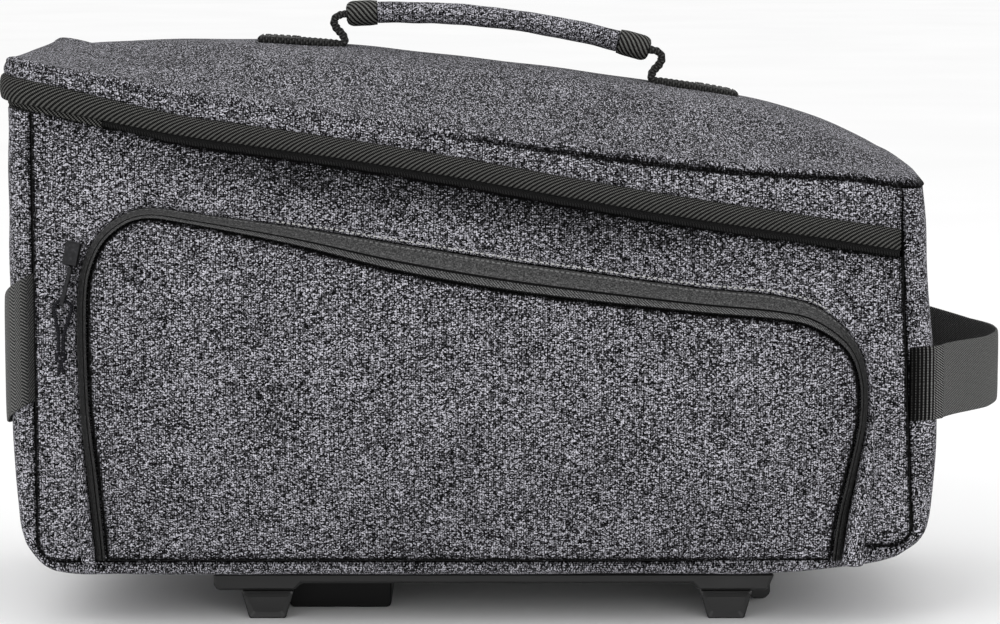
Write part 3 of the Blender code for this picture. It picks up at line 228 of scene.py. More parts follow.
def lid_row(column, along):
    return read_curve([r.along for r in LID_SECTIONS],
                      [getattr(r, column) for r in LID_SECTIONS], along)


def run_of(line):
    """Length walked along a line of points, from its start."""
    return np.concatenate([[0.0], np.cumsum(np.linalg.norm(np.diff(line, axis=0), axis=1))])


def walked(points):
    """Length walked over a grid's rows, measured from their middle."""
    steps = np.linalg.norm(np.diff(points, axis=1), axis=2)
    length = np.concatenate([np.zeros((len(points), 1)), np.cumsum(steps, 1)], 1)
    return length - length[:, points.shape[1] // 2, None]


def spread_evenly(line, shares):
    """Points on a line of points, at shares of its length."""
    run = run_of(line)
    at = np.asarray(shares) * run[-1]
    return np.stack([np.interp(at, run, line[:, k]) for k in range(line.shape[1])], axis=1)


def smooth_curve(points, count, steps=14):
    """Even points on a cubic through the given ones, slopes from the neighbours."""
    points = np.asarray(points, float)
    padded = np.vstack([2 * points[0] - points[1], points, 2 * points[-1] - points[-2]])
    a, b, c, d = (padded[k: len(points) - 1 + k, None] for k in range(4))
    t = np.linspace(0, 1, steps, endpoint=False)[None, :, None]
    fine = 0.5 * (2 * b + (c - a) * t + (2 * a - 5 * b + 4 * c - d) * t**2
                  + (3 * b - a - 3 * c + d) * t**3)
    fine = np.vstack([fine.reshape(-1, points.shape[1]), points[-1:]])
    return spread_evenly(fine, np.linspace(0, 1, count))


def mirrored(shares):
    """Shares from -1 to 1 out of the shares from 0 to 1."""
    half = np.asarray(shares)
    return np.concatenate([-half[:0:-1], half])


def crowded(count, power=1.7):
    """Shares from 0 to 1 that lie closer together towards 1: 1 - (1 - t)^power."""
    return 1 - (1 - np.linspace(0, 1, count)) ** power


def crowded_ends(count, crowding=0.75):
    """Shares from 0 to 1, closer at both ends: t - c sin(2 pi t) / 2 pi."""
    t = np.linspace(0, 1, count)
    return t - crowding * np.sin(2 * np.pi * t) / (2 * np.pi)


def ripple(u, v, size, seed, waves=9):
    """Soft unevenness of about -1 to 1: sines of nearly one length in seeded directions."""
    draw = np.random.default_rng(seed)
    total = 0.0
    for _ in range(waves):
        turn, phase = draw.uniform(0, 2 * np.pi, 2)
        length = size * draw.uniform(0.6, 1.7)
        total = total + np.sin((u * np.cos(turn) + v * np.sin(turn)) * 2 * np.pi / length + phase)
    return total / (1.5 * np.sqrt(waves))


def bulge(across):
    """Section of a bulging panel: 0 at the seams, 1 over a flat middle."""
    across = np.clip(np.abs(across), 0, 1)
    return (1 - across**BULGE_POWER) ** (1 / BULGE_POWER)


def rolled(distance, width=EDGE_ROLL):
    """Quarter round that a padded edge follows: 0 at the seam and 1 past its width."""
    return np.sqrt(1 - (1 - np.clip(distance / width, 0, 1)) ** 2)


def directions(line):
    """Unit tangents of a line of points."""
    tangent = np.gradient(line, axis=0)
    return tangent / np.maximum(np.linalg.norm(tangent, axis=1)[:, None], 1e-12)


def offset_plan(line, distance):
    """A line in plan, moved to its right-hand side."""
    t = directions(line)
    return line + np.column_stack([t[:, 1], -t[:, 0]]) * distance


# ---------------------------------------------------------------- shape of the bag


def flap_top(x):
    """Upper edge of the zip flap: a straight slope, less the table's sag."""
    along = np.clip((x - LID_TALL_X) / LID_LENGTH, 0, 1)
    straight = TALL_HEIGHT + (LOW_HEIGHT - TALL_HEIGHT) * along
    return UNDERSIDE + straight - FLAP_SAG * lid_row("sag", along)


def rim(x):
    """Upper edge of the side panels, below the strip of zip that shows."""
    return flap_top(x) - FLAP_HEIGHT - SLOT_SHOW


def crease(x):
    """Seam between the lid's side band and its domed top."""
    return flap_top(x) + BAND_HEIGHT * lid_row("crease", (x - LID_TALL_X) / LID_LENGTH)


def end_dip(y):
    """How far the lid's tall edge sinks between its corners."""
    straight = OUTER_HALF_WIDTH - LID_CORNER_RADIUS
    return END_DIP * (1 - np.clip(np.abs(y) / straight, 0, 1) ** 4)


def lid_half_width(along):
    """Half width of the lid: a circle's quarter at its corner, then even."""
    to_corner = np.clip(LID_CORNER_RADIUS - along * LID_LENGTH, 0, LID_CORNER_RADIUS)
    return OUTER_HALF_WIDTH - LID_CORNER_RADIUS + np.sqrt(LID_CORNER_RADIUS**2 - to_corner**2)


def lid_alongs(turns=13, rest=110):
    """Stations along the lid: even turns round its corner, then even steps."""
    angle = np.linspace(0, np.pi / 2, turns)
    corner = LID_CORNER_RADIUS * (1 - np.cos(angle)) / LID_LENGTH
    return np.concatenate([corner, np.linspace(corner[-1], 1, rest + 1)[1:]])


LID_ACROSS = crowded(36, 1.9)


def lid_plan():
    """Stations round the lid from the near low seam, round the tall end, to the far one,
    with each one's outward direction."""
    alongs = lid_alongs()
    x = LID_TALL_X + alongs * LID_LENGTH
    side = np.column_stack([x, lid_half_width(alongs)])
    lean = np.clip((LID_TALL_X + LID_CORNER_RADIUS - x) / LID_CORNER_RADIUS, 0, 1)
    side_out = np.column_stack([-lean, np.sqrt(1 - lean**2)])
    end_y = (OUTER_HALF_WIDTH - LID_CORNER_RADIUS) * mirrored(LID_ACROSS)[1:-1]
    end = np.column_stack([np.full(len(end_y), LID_TALL_X), end_y])
    end_out = np.tile([-1.0, 0.0], (len(end), 1))
    near = np.array([1.0, -1.0])
    places = np.concatenate([(side * near)[::-1], end, side])
    outward = np.concatenate([(side_out * near)[::-1], end_out, side_out])
    return places, outward


def base_seam(share):
    """Height of the base's seam, which rises near the low end."""
    return SEAM_BOTTOM + LOW_SEAM_RISE * smooth_step((share - 0.72) / 0.28)


def seam_points(at):
    """Side seam seen from the side: straight tall end, quarter round, base, round, low end.

    Gives places (x, z) and outward directions at positions counted as in WRAP_SECTIONS."""
    at = np.clip(np.asarray(at, float), 0, 5)
    stretch = np.minimum(at.astype(int), 4)
    share = at - stretch
    r = SEAM_CORNER_RADIUS
    low_top = float(crease(HINGE_X)) - GAP
    low_corner_z = float(base_seam(1.0)) + r
    lean = math.atan2(LOW_LEAN, low_top - low_corner_z)
    top = float(rim(TALL_SEAM_X))
    one, none = np.ones_like(share), np.zeros_like(share)
    tall = np.stack([TALL_SEAM_X * one, top + (SEAM_BOTTOM + r - top) * share], -1)
    turn = np.pi * (1 + share / 2)
    arc = np.stack([np.cos(turn), np.sin(turn)], -1)
    tall_corner = np.array([TALL_SEAM_X + r, SEAM_BOTTOM + r]) + r * arc
    start, end = TALL_SEAM_X + r, LOW_SEAM_X - r
    base = np.stack([start + (end - start) * share, base_seam(share)], -1)
    low_turn = 1.5 * np.pi + (np.pi / 2 + lean) * share
    low_arc = np.stack([np.cos(low_turn), np.sin(low_turn)], -1)
    low_corner = np.array([LOW_SEAM_X - r, low_corner_z]) + r * low_arc
    foot = np.array([LOW_SEAM_X - r + r * math.cos(lean), low_corner_z + r * math.sin(lean)])
    length = (low_top - foot[1]) / math.cos(lean)
    rise = np.array([-math.sin(lean), math.cos(lean)]) * length
    low = foot + share[..., None] * rise
    places = np.select([(stretch == k)[..., None] for k in range(5)],
                       [tall, tall_corner, base, low_corner, low])
    outs = np.select([(stretch == k)[..., None] for k in range(5)],
                     [np.stack([-one, none], -1), arc, np.stack([none, -one], -1), low_arc,
                      np.stack([one, none], -1)])
    return places, outs


def low_seam_x(z):
    """The low end's seam at a height."""
    line = seam_points(np.linspace(4, 5, 24))[0]
    return np.interp(z, line[:, 1], line[:, 0])


def wrap_depth(at):
    """Bulge of the panel round the ends and base, read by walked length."""
    knots = np.linspace(0, 5, 501)
    run = run_of(seam_points(knots)[0])
    rows = np.interp([r.at for r in WRAP_SECTIONS], knots, run)
    return read_curve(rows, [r.depth for r in WRAP_SECTIONS], np.interp(at, knots, run))


def coons(bottom, top, left, right, us, vs):
    """Patch between four border lines: both ruled surfaces added, less the corners'."""
    b, t = spread_evenly(bottom, us), spread_evenly(top, us)
    l, r = spread_evenly(left, vs), spread_evenly(right, vs)
    u, v = us[None, :, None], vs[:, None, None]
    ruled = (1 - v) * b[None] + v * t[None] + (1 - u) * l[:, None] + u * r[:, None]
    corners = (1 - u) * (1 - v) * b[0] + u * (1 - v) * b[-1] + (1 - u) * v * t[0] + u * v * t[-1]
    return ruled - corners


def edge_distance(grid):
    """Each grid point's distance from the nearest border line of the grid."""
    lines = [spread_evenly(line, np.linspace(0, 1, 160))
             for line in (grid[0], grid[-1], grid[:, 0], grid[:, -1])]
    border = np.concatenate(lines)
    flat = grid.reshape(-1, 2)
    nearest = np.min(np.linalg.norm(flat[:, None] - border[None], axis=2), axis=1)
    return nearest.reshape(grid.shape[:2])


def side_face(x, z):
    """Distance of a side panel's outer face from the centre plane, away from its edges."""
    middle, half = (TALL_SEAM_X + LOW_SEAM_X) / 2, (LOW_SEAM_X - TALL_SEAM_X) / 2
    low, high = SEAM_BOTTOM, rim(x)
    across = np.clip((x - middle) / half, -1, 1)
    up = np.clip((2 * z - low - high) / (high - low), -1, 1)
    return OUTER_HALF_WIDTH + SIDE_CROWN * (1 - across**2) * (1 - up**2)


def lid_inner(along, across, y):
    """Inner face of the lid: the crease, plus the crown across, less the tall edge's dip."""
    edge = crease(LID_TALL_X + along * LID_LENGTH)
    rise = CROWN_RISE * lid_row("crown", along) * (1 - np.abs(across) ** CROWN_POWER)
    return edge + rise - end_dip(y) * (1 - smooth_step(along / 0.06))


def lid_low_edge(y):
    """Plan of the lid's low edge, over the top of the bulging end panel."""
    return HINGE_X + WRAP_SECTIONS[-1].depth * bulge(y / WRAP_HALF_WIDTH)


def lid_face(x, y=0.0):
    """Height of the lid's outer face, away from its edges."""
    along = (x - LID_TALL_X) / (lid_low_edge(y) - LID_TALL_X)
    return lid_inner(along, y / OUTER_HALF_WIDTH, y) + WALL


def low_end_face(across, z):
    """The low end panel's outer face at a height and a share across."""
    at = np.array([r.at for r in WRAP_SECTIONS if r.at > 4.01])
    heights = seam_points(at)[0][:, 1]
    depth = np.interp(z, heights, [r.depth for r in WRAP_SECTIONS if r.at > 4.01])
    return low_seam_x(z) + depth * bulge(across)


def pocket_arch():
    """The pocket panel's arched edge, seen from the side, at the table's rows."""
    x0, z0 = TALL_SEAM_X + POCKET_OFFSET, SEAM_BOTTOM + POCKET_LIFT
    return np.array([(x0 + r.along * POCKET_LENGTH, z0 + r.up * POCKET_HEIGHT)
                     for r in POCKET_ARCH])


def arch_lines(steps=24):
    """The left, top and right borders of the pocket's panel, as smooth lines."""
    rows = pocket_arch()
    padded = np.vstack([2 * rows[0] - rows[1], rows, 2 * rows[-1] - rows[-2]])
    a, b, c, d = (padded[k: len(rows) - 1 + k, None] for k in range(4))
    t = np.linspace(0, 1, steps)[None, :, None]
    spans = 0.5 * (2 * b + (c - a) * t + (2 * a - 5 * b + 4 * c - d) * t**2
                   + (3 * b - a - 3 * c + d) * t**3)
    left = spans[:ARCH_TALL_CORNER].reshape(-1, 2)
    top = spans[ARCH_TALL_CORNER:ARCH_LOW_CORNER].reshape(-1, 2)
    right = spans[ARCH_LOW_CORNER:].reshape(-1, 2)[::-1]
    return left, top, right


def pocket_edge_depth(z):
    """Depth of the pocket at its edge: shallow at the foot, full under the zip."""
    up = (z - SEAM_BOTTOM - POCKET_LIFT) / POCKET_HEIGHT
    return POCKET_FOOT_DEPTH + (POCKET_DEPTH - POCKET_FOOT_DEPTH) * smooth_step(up / 0.4)


def arch_stations(count):
    """Even stations round the pocket: place, outward direction, zip width and share up."""
    left, top, right = arch_lines()
    line = np.concatenate([left, top, right[::-1]])
    keep = np.concatenate([[True], np.linalg.norm(np.diff(line, axis=0), axis=1) > 1e-7])
    line = line[keep]
    run = run_of(line)
    rows = pocket_arch()
    row_run = run[np.argmin(np.linalg.norm(line[None] - rows[:, None], axis=2), axis=1)]
    at = np.linspace(0, run[-1], count)
    place = np.stack([np.interp(at, run, line[:, k]) for k in (0, 1)], 1)
    tangent = directions(place)
    outward = np.column_stack([-tangent[:, 1], tangent[:, 0]])
    width = read_curve(row_run, [r.zip for r in POCKET_ARCH], at) * POCKET_ZIP_WIDTH
    up = (place[:, 1] - rows[0, 1]) / POCKET_HEIGHT
    return at, place, outward, width, up


# ---------------------------------------------------------------- meshes


def sheet(points, cloth, around=False):
    """Vertices, quads and cloth coordinates of one grid; around joins its last column."""
    rows, cols = points.shape[:2]
    wide = cols + 1 if around else cols
    r, c = np.meshgrid(np.arange(rows - 1), np.arange(wide - 1), indexing="ij")
    corner_r = np.stack([r, r, r + 1, r + 1], -1).reshape(-1, 4)
    corner_c = np.stack([c, c + 1, c + 1, c], -1).reshape(-1, 4)
    faces = corner_r * cols + corner_c % cols
    return points.reshape(-1, 3), faces, cloth[corner_r, corner_c]


def make_piece(name, sheets, finish, closed=False, thickness=0.0, weld=1e-6, dark=None):
    """One object out of sheets that meet at shared points. A closed one has its faces
    turned outwards; an open one is turned away from the bag's middle and given a wall.
    Dark is the share of shade that each point's finish gets, as in a seam."""
    verts, faces, cloths, before = [], [], [], 0
    for points, quads, cloth in sheets:
        verts.append(points)
        faces.append(quads + before)
        cloths.append(cloth)
        before += len(points)
    verts, faces, cloths = (np.concatenate(part) for part in (verts, faces, cloths))
    mesh = bpy.data.meshes.new(name)
    mesh.from_pydata(verts, [], faces.tolist())
    layer = mesh.uv_layers.new(name="cloth")
    layer.uv.foreach_set("vector", cloths.astype(np.float32).ravel())
    # dark holds painted shade: a share from 0 to 1 on each point, by which the finishes darken it
    shade = np.zeros(len(verts)) if dark is None else np.ravel(dark)
    mesh.attributes.new("dark", "FLOAT", "POINT").data.foreach_set(
        "value", np.clip(shade, 0, 1).astype(np.float32))
    work = bmesh.new()
    work.from_mesh(mesh)
    bmesh.ops.remove_doubles(work, verts=work.verts, dist=weld)
    bmesh.ops.dissolve_degenerate(work, edges=work.edges, dist=weld / 2)
    bmesh.ops.recalc_face_normals(work, faces=work.faces)
    if not closed:
        middle = np.array([0.0, 0.0, 0.11])
        facing = sum(f.normal.dot(f.calc_center_median() - type(f.normal)(middle)) * f.calc_area()
                     for f in work.faces)
        if facing < 0:
            bmesh.ops.reverse_faces(work, faces=work.faces)
    work.to_mesh(mesh)
    work.free()
    mesh.shade_smooth()
    mesh.materials.append(finish)
    made = bpy.data.objects.new(name, mesh)
    bpy.context.scene.collection.objects.link(made)
    if thickness:
        wall = made.modifiers.new("wall", "SOLIDIFY")
        wall.thickness = thickness
        wall.offset = -1.0
    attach(made, "root")
    return made


def closed_bar(rings):
    """Rings with a middle point added at each end, which closes the bar."""
    start = np.repeat(rings[:1].mean(1, keepdims=True), rings.shape[1], 1)
    end = np.repeat(rings[-1:].mean(1, keepdims=True), rings.shape[1], 1)
    return np.concatenate([start, rings, end])


def seam_shade(distance, line=0.0009, strength=0.9, soft=0.07):
    """Shade beside a seam: a thin line, exp(-(d / line)^2), and a soft fall over 4 mm."""
    return strength * np.exp(-((distance / line) ** 2)) + soft * np.exp(-distance / 0.004)


def ring_cloth(rings, shift=0.0):
    """Cloth coordinates of a bar: walked length along it and round its section."""
    joined = np.concatenate([rings, rings[:, :1]], 1)
    along = run_of(rings.mean(1))
    round_it = np.concatenate([np.zeros((len(rings), 1)),
                               np.cumsum(np.linalg.norm(np.diff(joined, axis=1), axis=2), 1)], 1)
    middle = len(rings) // 2
    v = np.broadcast_to(round_it[middle], round_it.shape)
    return np.stack([np.broadcast_to(along[:, None] + shift, v.shape), v], -1)


def softened(field, passes=8):
    """A field over a grid, each value averaged with its four neighbours, over and over."""
    for _ in range(passes):
        padded = np.pad(field, ((1, 1), (1, 1), (0, 0)), mode="edge")
        field = (2 * field + padded[2:, 1:-1] + padded[:-2, 1:-1] + padded[1:-1, 2:]
                 + padded[1:-1, :-2]) / 6
    return field


def settle(name, points, fade, pressure, cap, slack=0.012, frames=16):
    """Lets a sheet held at its border settle as cloth and gives back its points.

    Each point moves towards its simulated place, by no more than the cap; the movement
    is softened over the grid and fades to nothing at the border."""
    rows, cols = points.shape[:2]
    verts, faces, _ = sheet(points, np.zeros((rows, cols, 2)))
    mesh = bpy.data.meshes.new(name)
    mesh.from_pydata(verts, [], faces.tolist())
    mesh.update()
    test = bpy.data.objects.new(name, mesh)
    bpy.context.scene.collection.objects.link(test)
    held = test.vertex_groups.new(name="held")
    index = np.arange(rows * cols).reshape(rows, cols)
    border = np.concatenate([index[:2].ravel(), index[-2:].ravel(),
                             index[:, :2].ravel(), index[:, -2:].ravel()])
    held.add(np.unique(border).tolist(), 1.0, "REPLACE")
    cloth = test.modifiers.new("cloth", "CLOTH")
    rules = cloth.settings
    rules.quality = 5
    rules.mass = 0.2
    rules.tension_stiffness = rules.compression_stiffness = 20
    rules.shear_stiffness = 8
    rules.bending_stiffness = 0.6
    rules.vertex_group_mass = "held"
    rules.shrink_min = -slack
    rules.use_pressure = True
    rules.uniform_pressure_force = pressure
    rules.effector_weights.gravity = 0.0
    scene = bpy.context.scene
    for step in range(1, frames + 1):
        scene.frame_set(step)
    moved = np.empty(rows * cols * 3)
    state = test.evaluated_get(bpy.context.evaluated_depsgraph_get())
    state.data.vertices.foreach_get("co", moved)
    scene.frame_set(1)
    bpy.data.objects.remove(test)
    bpy.data.meshes.remove(mesh)
    shift = moved.reshape(rows, cols, 3) - points
    length = np.linalg.norm(shift, axis=2, keepdims=True)
    shift = shift * np.minimum(1.0, cap / np.maximum(length, 1e-9))
    return points + softened(shift) * fade[..., None]


def stitches(path, normals, step, length, radius):
    """Sewn thread along a path: low capsules with four rings of six points each."""
    run = run_of(path)
    starts = np.arange(step / 2, run[-1] - length, step)
    at = starts[:, None] + length * np.array([0.0, 0.18, 0.82, 1.0])[None]
    centre = np.stack([np.interp(at, run, path[:, k]) for k in range(3)], -1)
    up = np.stack([np.interp(at, run, normals[:, k]) for k in range(3)], -1)
    up /= np.linalg.norm(up, axis=-1, keepdims=True)
    ahead = centre[:, 3:] - centre[:, :1]
    ahead /= np.linalg.norm(ahead, axis=-1, keepdims=True)
    side = np.cross(ahead, up)
    turns = np.linspace(0, 2 * np.pi, 6, endpoint=False)
    scale = np.array([0.35, 1.0, 1.0, 0.35])[None, :, None, None]
    sink = np.array([-0.9, 0.0, 0.0, -0.9])[None, :, None, None] * radius
    rings = (centre[:, :, None] + up[:, :, None] * sink
             + scale * radius * (np.cos(turns)[None, None, :, None] * side[:, :, None]
                                 + np.sin(turns)[None, None, :, None] * up[:, :, None]))
    count = len(rings)
    ends = rings[:, [0, -1]].mean(2, keepdims=True) * np.ones((1, 1, 6, 1))
    rings = np.concatenate([ends[:, :1], rings, ends[:, 1:]], 1)
    verts = rings.reshape(-1, 3)
    r, c = np.meshgrid(np.arange(5), np.arange(6), indexing="ij")
    quad = np.stack([r * 6 + c, r * 6 + (c + 1) % 6, (r + 1) * 6 + (c + 1) % 6, (r + 1) * 6 + c], -1)
    faces = (quad.reshape(1, -1, 4) + (np.arange(count) * 36)[:, None, None]).reshape(-1, 4)
    return verts, faces, np.zeros((len(faces), 4, 2))


# ---------------------------------------------------------------- finishes


class Recipe:
    """Node material: a Principled shader and short calls that add nodes before it."""

    def __init__(self, name, colour, roughness, sheen=0.0, metallic=0.0, specular=0.5):
        self.material = bpy.data.materials.new(name)
        self.material.use_nodes = True
        self.tree = self.material.node_tree
        self.shader = self.tree.nodes["Principled BSDF"]
        self.material.diffuse_color = (*colour[:3], 1.0)
        for socket, value in (("Roughness", roughness), ("Sheen Weight", sheen),
                              ("Metallic", metallic), ("Specular IOR Level", specular)):
            self.shader.inputs[socket].default_value = value
        self.shader.inputs["Sheen Roughness"].default_value = 0.5

    def add(self, kind, values=(), **settings):
        node = self.tree.nodes.new(kind)
        for key, value in settings.items():
            setattr(node, key, value)
        for socket, value in dict(values).items():
            self.put(value, node.inputs[socket])
        return node

    def put(self, value, socket):
        if isinstance(value, bpy.types.NodeSocket):
            self.tree.links.new(value, socket)
        else:
            socket.default_value = value

    def cloth(self):
        return self.add("ShaderNodeUVMap", uv_map="cloth").outputs["UV"]

    def place(self):
        return self.add("ShaderNodeTexCoord").outputs["Object"]

    def split(self, vector):
        return self.add("ShaderNodeSeparateXYZ", {"Vector": vector}).outputs

    def scaled(self, vector, *scale):
        scale = scale if len(scale) == 3 else (*scale, 1.0)
        return self.add("ShaderNodeMapping", {"Vector": vector, "Scale": scale}).outputs["Vector"]

    def noise(self, vector, scale=1.0, detail=1.5, rough=0.6, flat=True):
        node = self.add("ShaderNodeTexNoise", {"Vector": vector, "Scale": scale, "Detail": detail,
                                               "Roughness": rough},
                        noise_dimensions="2D" if flat else "3D")
        return node.outputs["Fac"]

    def dark(self):
        """Shade stored with the piece's points."""
        return self.add("ShaderNodeAttribute", attribute_name="dark").outputs["Fac"]

    def dimmed(self, colour, share):
        """A colour with a share of its light taken away."""
        left = self.math("SUBTRACT", 1.0, share)
        return self.add("ShaderNodeVectorMath", {"Vector": colour, "Scale": left},
                        operation="SCALE").outputs["Vector"]

    def grains(self, vector, randomness=1.0):
        """One random value for each cell of an uneven grid."""
        node = self.add("ShaderNodeTexVoronoi", {"Vector": vector, "Scale": 1.0,
                                                 "Randomness": randomness},
                        voronoi_dimensions="2D")
        split = self.add("ShaderNodeSeparateColor", {"Color": node.outputs["Color"]})
        return split.outputs[0]

    def math(self, operation, a, b=0.0, c=0.0):
        node = self.add("ShaderNodeMath", operation=operation)
        for socket, value in zip(node.inputs, (a, b, c)):
            self.put(value, socket)
        return node.outputs[0]

    def total(self, *terms):
        """Sum of (value, weight) terms."""
        made = 0.0
        for value, weight in terms:
            made = self.math("MULTIPLY_ADD", value, weight, made)
        return made

    def wave(self, value, length):
        """Sine of a coordinate, from -1 to 1, with its length in metres."""
        return self.math("SINE", self.math("MULTIPLY", value, 2 * math.pi / length))

    def ramp(self, value, stops):
        node = self.add("ShaderNodeValToRGB", {"Fac": value})
        ramp = node.color_ramp
        for _ in range(len(stops) - 2):
            ramp.elements.new(0.5)
        for element, (at, colour) in zip(ramp.elements, stops):
            element.position = at
            element.color = (*colour, 1.0)
        return node.outputs["Color"]

    def finish(self, colour, height=None, depth=0.0002, strength=0.6, roughness=None):
        self.put(colour, self.shader.inputs["Base Color"])
        if roughness is not None:
            self.put(roughness, self.shader.inputs["Roughness"])
        if height is not None:
            bump = self.add("ShaderNodeBump", {"Height": height, "Strength": strength,
                                               "Distance": depth})
            self.put(bump.outputs["Normal"], self.shader.inputs["Normal"])
        return self.material


def tones(colour, *shares):
    """Stops of a ramp: a colour scaled by each share."""
    return [(at, tuple(min(1.0, c * share) for c in colour[:3])) for at, share in shares]


def colours():
    return bpy.context.scene.bag_colours


def looks():
    return bpy.context.scene.bag_looks


def finish_of(name, maker):
    """A finish, made on its first use."""
    return bpy.data.materials.get(name) or maker(name)


def make_heather(name):
    """Heathered jersey: a random tone for each stitch, slubs along the rows, grooves
    between the knit's columns, softly clouded, and painted shade from each point's dark share."""
    colour = tuple(colours().fabric)
    r = Recipe(name, colour, 0.95, sheen=0.02, specular=0.06)
    cloth = r.cloth()
    u = r.split(cloth)[0]
    stitch = r.grains(r.scaled(cloth, 1900, 2500))
    fleck = r.noise(r.scaled(cloth, 1500, 1900), detail=2.5)
    slub = r.noise(r.scaled(cloth, 380, 2400), detail=1.5)
    cloud = r.noise(r.place(), 38, 2.0, flat=False)
    rib = r.wave(u, looks().knit_step)
    # painted shade: each point's dark share lowers the tone here and dims the colour below
    tone = r.total((stitch, 0.62), (fleck, 0.55), (slub, 0.50), (cloud, 0.14), (rib, 0.06),
                   (r.dark(), -0.50))
    tone = r.math("SUBTRACT", tone, 0.405)
    colour = r.ramp(tone, tones(colour, (0.27, 0.01), (0.40, 0.16), (0.50, 0.60), (0.62, 1.9),
                                (0.82, 7.6)))
    colour = r.dimmed(colour, r.dark())
    height = r.total((stitch, 0.35), (fleck, 0.45), (rib, 0.20), (slub, 0.3))
    return r.finish(colour, height, 0.00022, 0.7)


def make_twill(name, colour=None, strength=0.9):
    """Curved twill: ridges one step apart along the tape, beaded by its cross threads."""
    colour = colour or tuple(colours().twill)
    r = Recipe(name, colour, 0.80, sheen=0.0, specular=0.05)
    cloth = r.cloth()
    u, v, _ = r.split(cloth)
    ridge = r.wave(u, looks().twill_step)
    bead = r.wave(r.math("MULTIPLY_ADD", v, 2.1, u), 0.00095)
    fuzz = r.noise(r.scaled(cloth, 1800, 1800), detail=1.5)
    height = r.total((ridge, 0.32), (bead, 0.20), (fuzz, 0.42))
    height = r.math("ADD", height, 0.28)
    # painted shade: each point's dark share lowers the tone
    tone = r.math("MULTIPLY_ADD", r.dark(), -0.4, height)
    colour = r.ramp(tone, tones(colour, (0.22, 0.03), (0.50, 0.50), (0.88, 3.4)))
    return r.finish(colour, height, 0.0005, strength)


def make_herringbone(name, colour, ridge_step=0.0009, column=0.0032, contrast=1.0):
    """Herringbone tape: slanted lines that turn back at each column's edge."""
    r = Recipe(name, colour, 0.6, specular=0.08)
    cloth = r.cloth()
    u, v, _ = r.split(cloth)
    fold = r.math("PINGPONG", v, column)
    lines = r.wave(r.math("ADD", u, fold), ridge_step)
    fuzz = r.noise(r.scaled(cloth, 1700, 1700), detail=1.5)
    height = r.total((lines, 0.28 * contrast), (fuzz, 0.50))
    height = r.math("ADD", height, 0.24)
    # painted shade: each point's dark share lowers the tone
    tone = r.math("MULTIPLY_ADD", r.dark(), -0.4, height)
    colour = r.ramp(tone, tones(colour, (0.15, 0.08), (0.46, 0.75), (0.85, 2.8)))
    return r.finish(colour, height, 0.0002, 0.5 * contrast)


def make_zip_dark(name):
    return make_herringbone(name, tuple(colours().zip_dark), 0.0011, 0.0016, 1.2)


def make_light_band(name):
    return make_herringbone(name, tuple(colours().light_band), 0.0013, 0.0028, 1.1)


def make_webbing(name, half_length):
    """Webbing: heavy cross ribs near both seams that pass into fine diagonal twill, with painted shade
    over the first 12 mm from each seam.
    """
    colour = tuple(colours().webbing)
    r = Recipe(name, colour, 0.70, specular=0.06)
    cloth = r.cloth()
    u, v, _ = r.split(cloth)
    inward = r.math("PINGPONG", u, half_length)
    rib = r.wave(inward, 0.00164)
    bead = r.wave(v, 0.00105)
    twill = r.wave(r.math("MULTIPLY_ADD", u, 0.55, v), 0.00098)
    cross = r.wave(u, 0.0010)
    past = r.math("DIVIDE", r.math("SUBTRACT", inward, 0.0085), 0.0045)
    near_seam = r.math("SUBTRACT", 1.0, r.math("MINIMUM", r.math("MAXIMUM", past, 0.0), 1.0))
    plain = r.math("SUBTRACT", 1.0, near_seam)
    # painted shade: the tone darkens over the first 12 mm from each seam, where the loop sits in its
    # hollow
    deep = r.math("MAXIMUM", r.math("MULTIPLY_ADD", inward, -95.0, 1.15), 0.0)
    fuzz = r.noise(r.scaled(cloth, 1800, 1800), detail=1.5)
    ribs = r.math("MULTIPLY", r.total((rib, 0.36), (bead, 0.10)), near_seam)
    weave = r.math("MULTIPLY", r.total((twill, 0.55), (cross, 0.30)), plain)
    height = r.total((ribs, 1.0), (weave, 1.0), (fuzz, 0.45))
    height = r.math("ADD", height, 0.26)
    tone = r.math("MULTIPLY_ADD", deep, -0.5, height)
    colour = r.ramp(tone, tones(colour, (0.10, 0.01), (0.30, 0.16), (0.48, 0.80), (0.88, 3.0)))
    return r.finish(colour, height, 0.0004, 0.8)


def make_strap(name):
    """Handle webbing: coarse blocks of thread, a cross rib and a lengthwise column each."""
    colour = tuple(colours().webbing)
    r = Recipe(name, colour, 0.75, specular=0.06)
    cloth = r.cloth()
    u, v, _ = r.split(cloth)
    block = r.math("MULTIPLY", r.wave(u, 0.0022), r.wave(v, 0.0026))
    rib = r.wave(u, 0.0011)
    fuzz = r.noise(r.scaled(cloth, 1700, 1700), detail=1.5)
    height = r.math("ADD", r.total((block, 0.18), (rib, 0.14), (fuzz, 0.35)), 0.30)
    colour = r.ramp(height, tones(colour, (0.12, 0.04), (0.48, 0.22), (0.85, 1.1)))
    return r.finish(colour, height, 0.0005, 0.9)


def make_cord(name):
    """Braided cord: two crossing spirals of thread."""
    colour = tuple(colours().cord)
    r = Recipe(name, colour, 0.62, specular=0.10)
    place = r.split(r.place())
    one = r.wave(r.math("ADD", place[2], r.math("MULTIPLY", place[0], 1.4)), 0.0011)
    two = r.wave(r.math("SUBTRACT", place[2], r.math("MULTIPLY", place[1], 1.4)), 0.0011)
    height = r.math("ADD", r.total((one, 0.25), (two, 0.25)), 0.5)
    colour = r.ramp(height, tones(colour, (0.1, 0.15), (0.6, 0.7), (1.0, 2.6)))
    return r.finish(colour, height, 0.0002, 0.6)


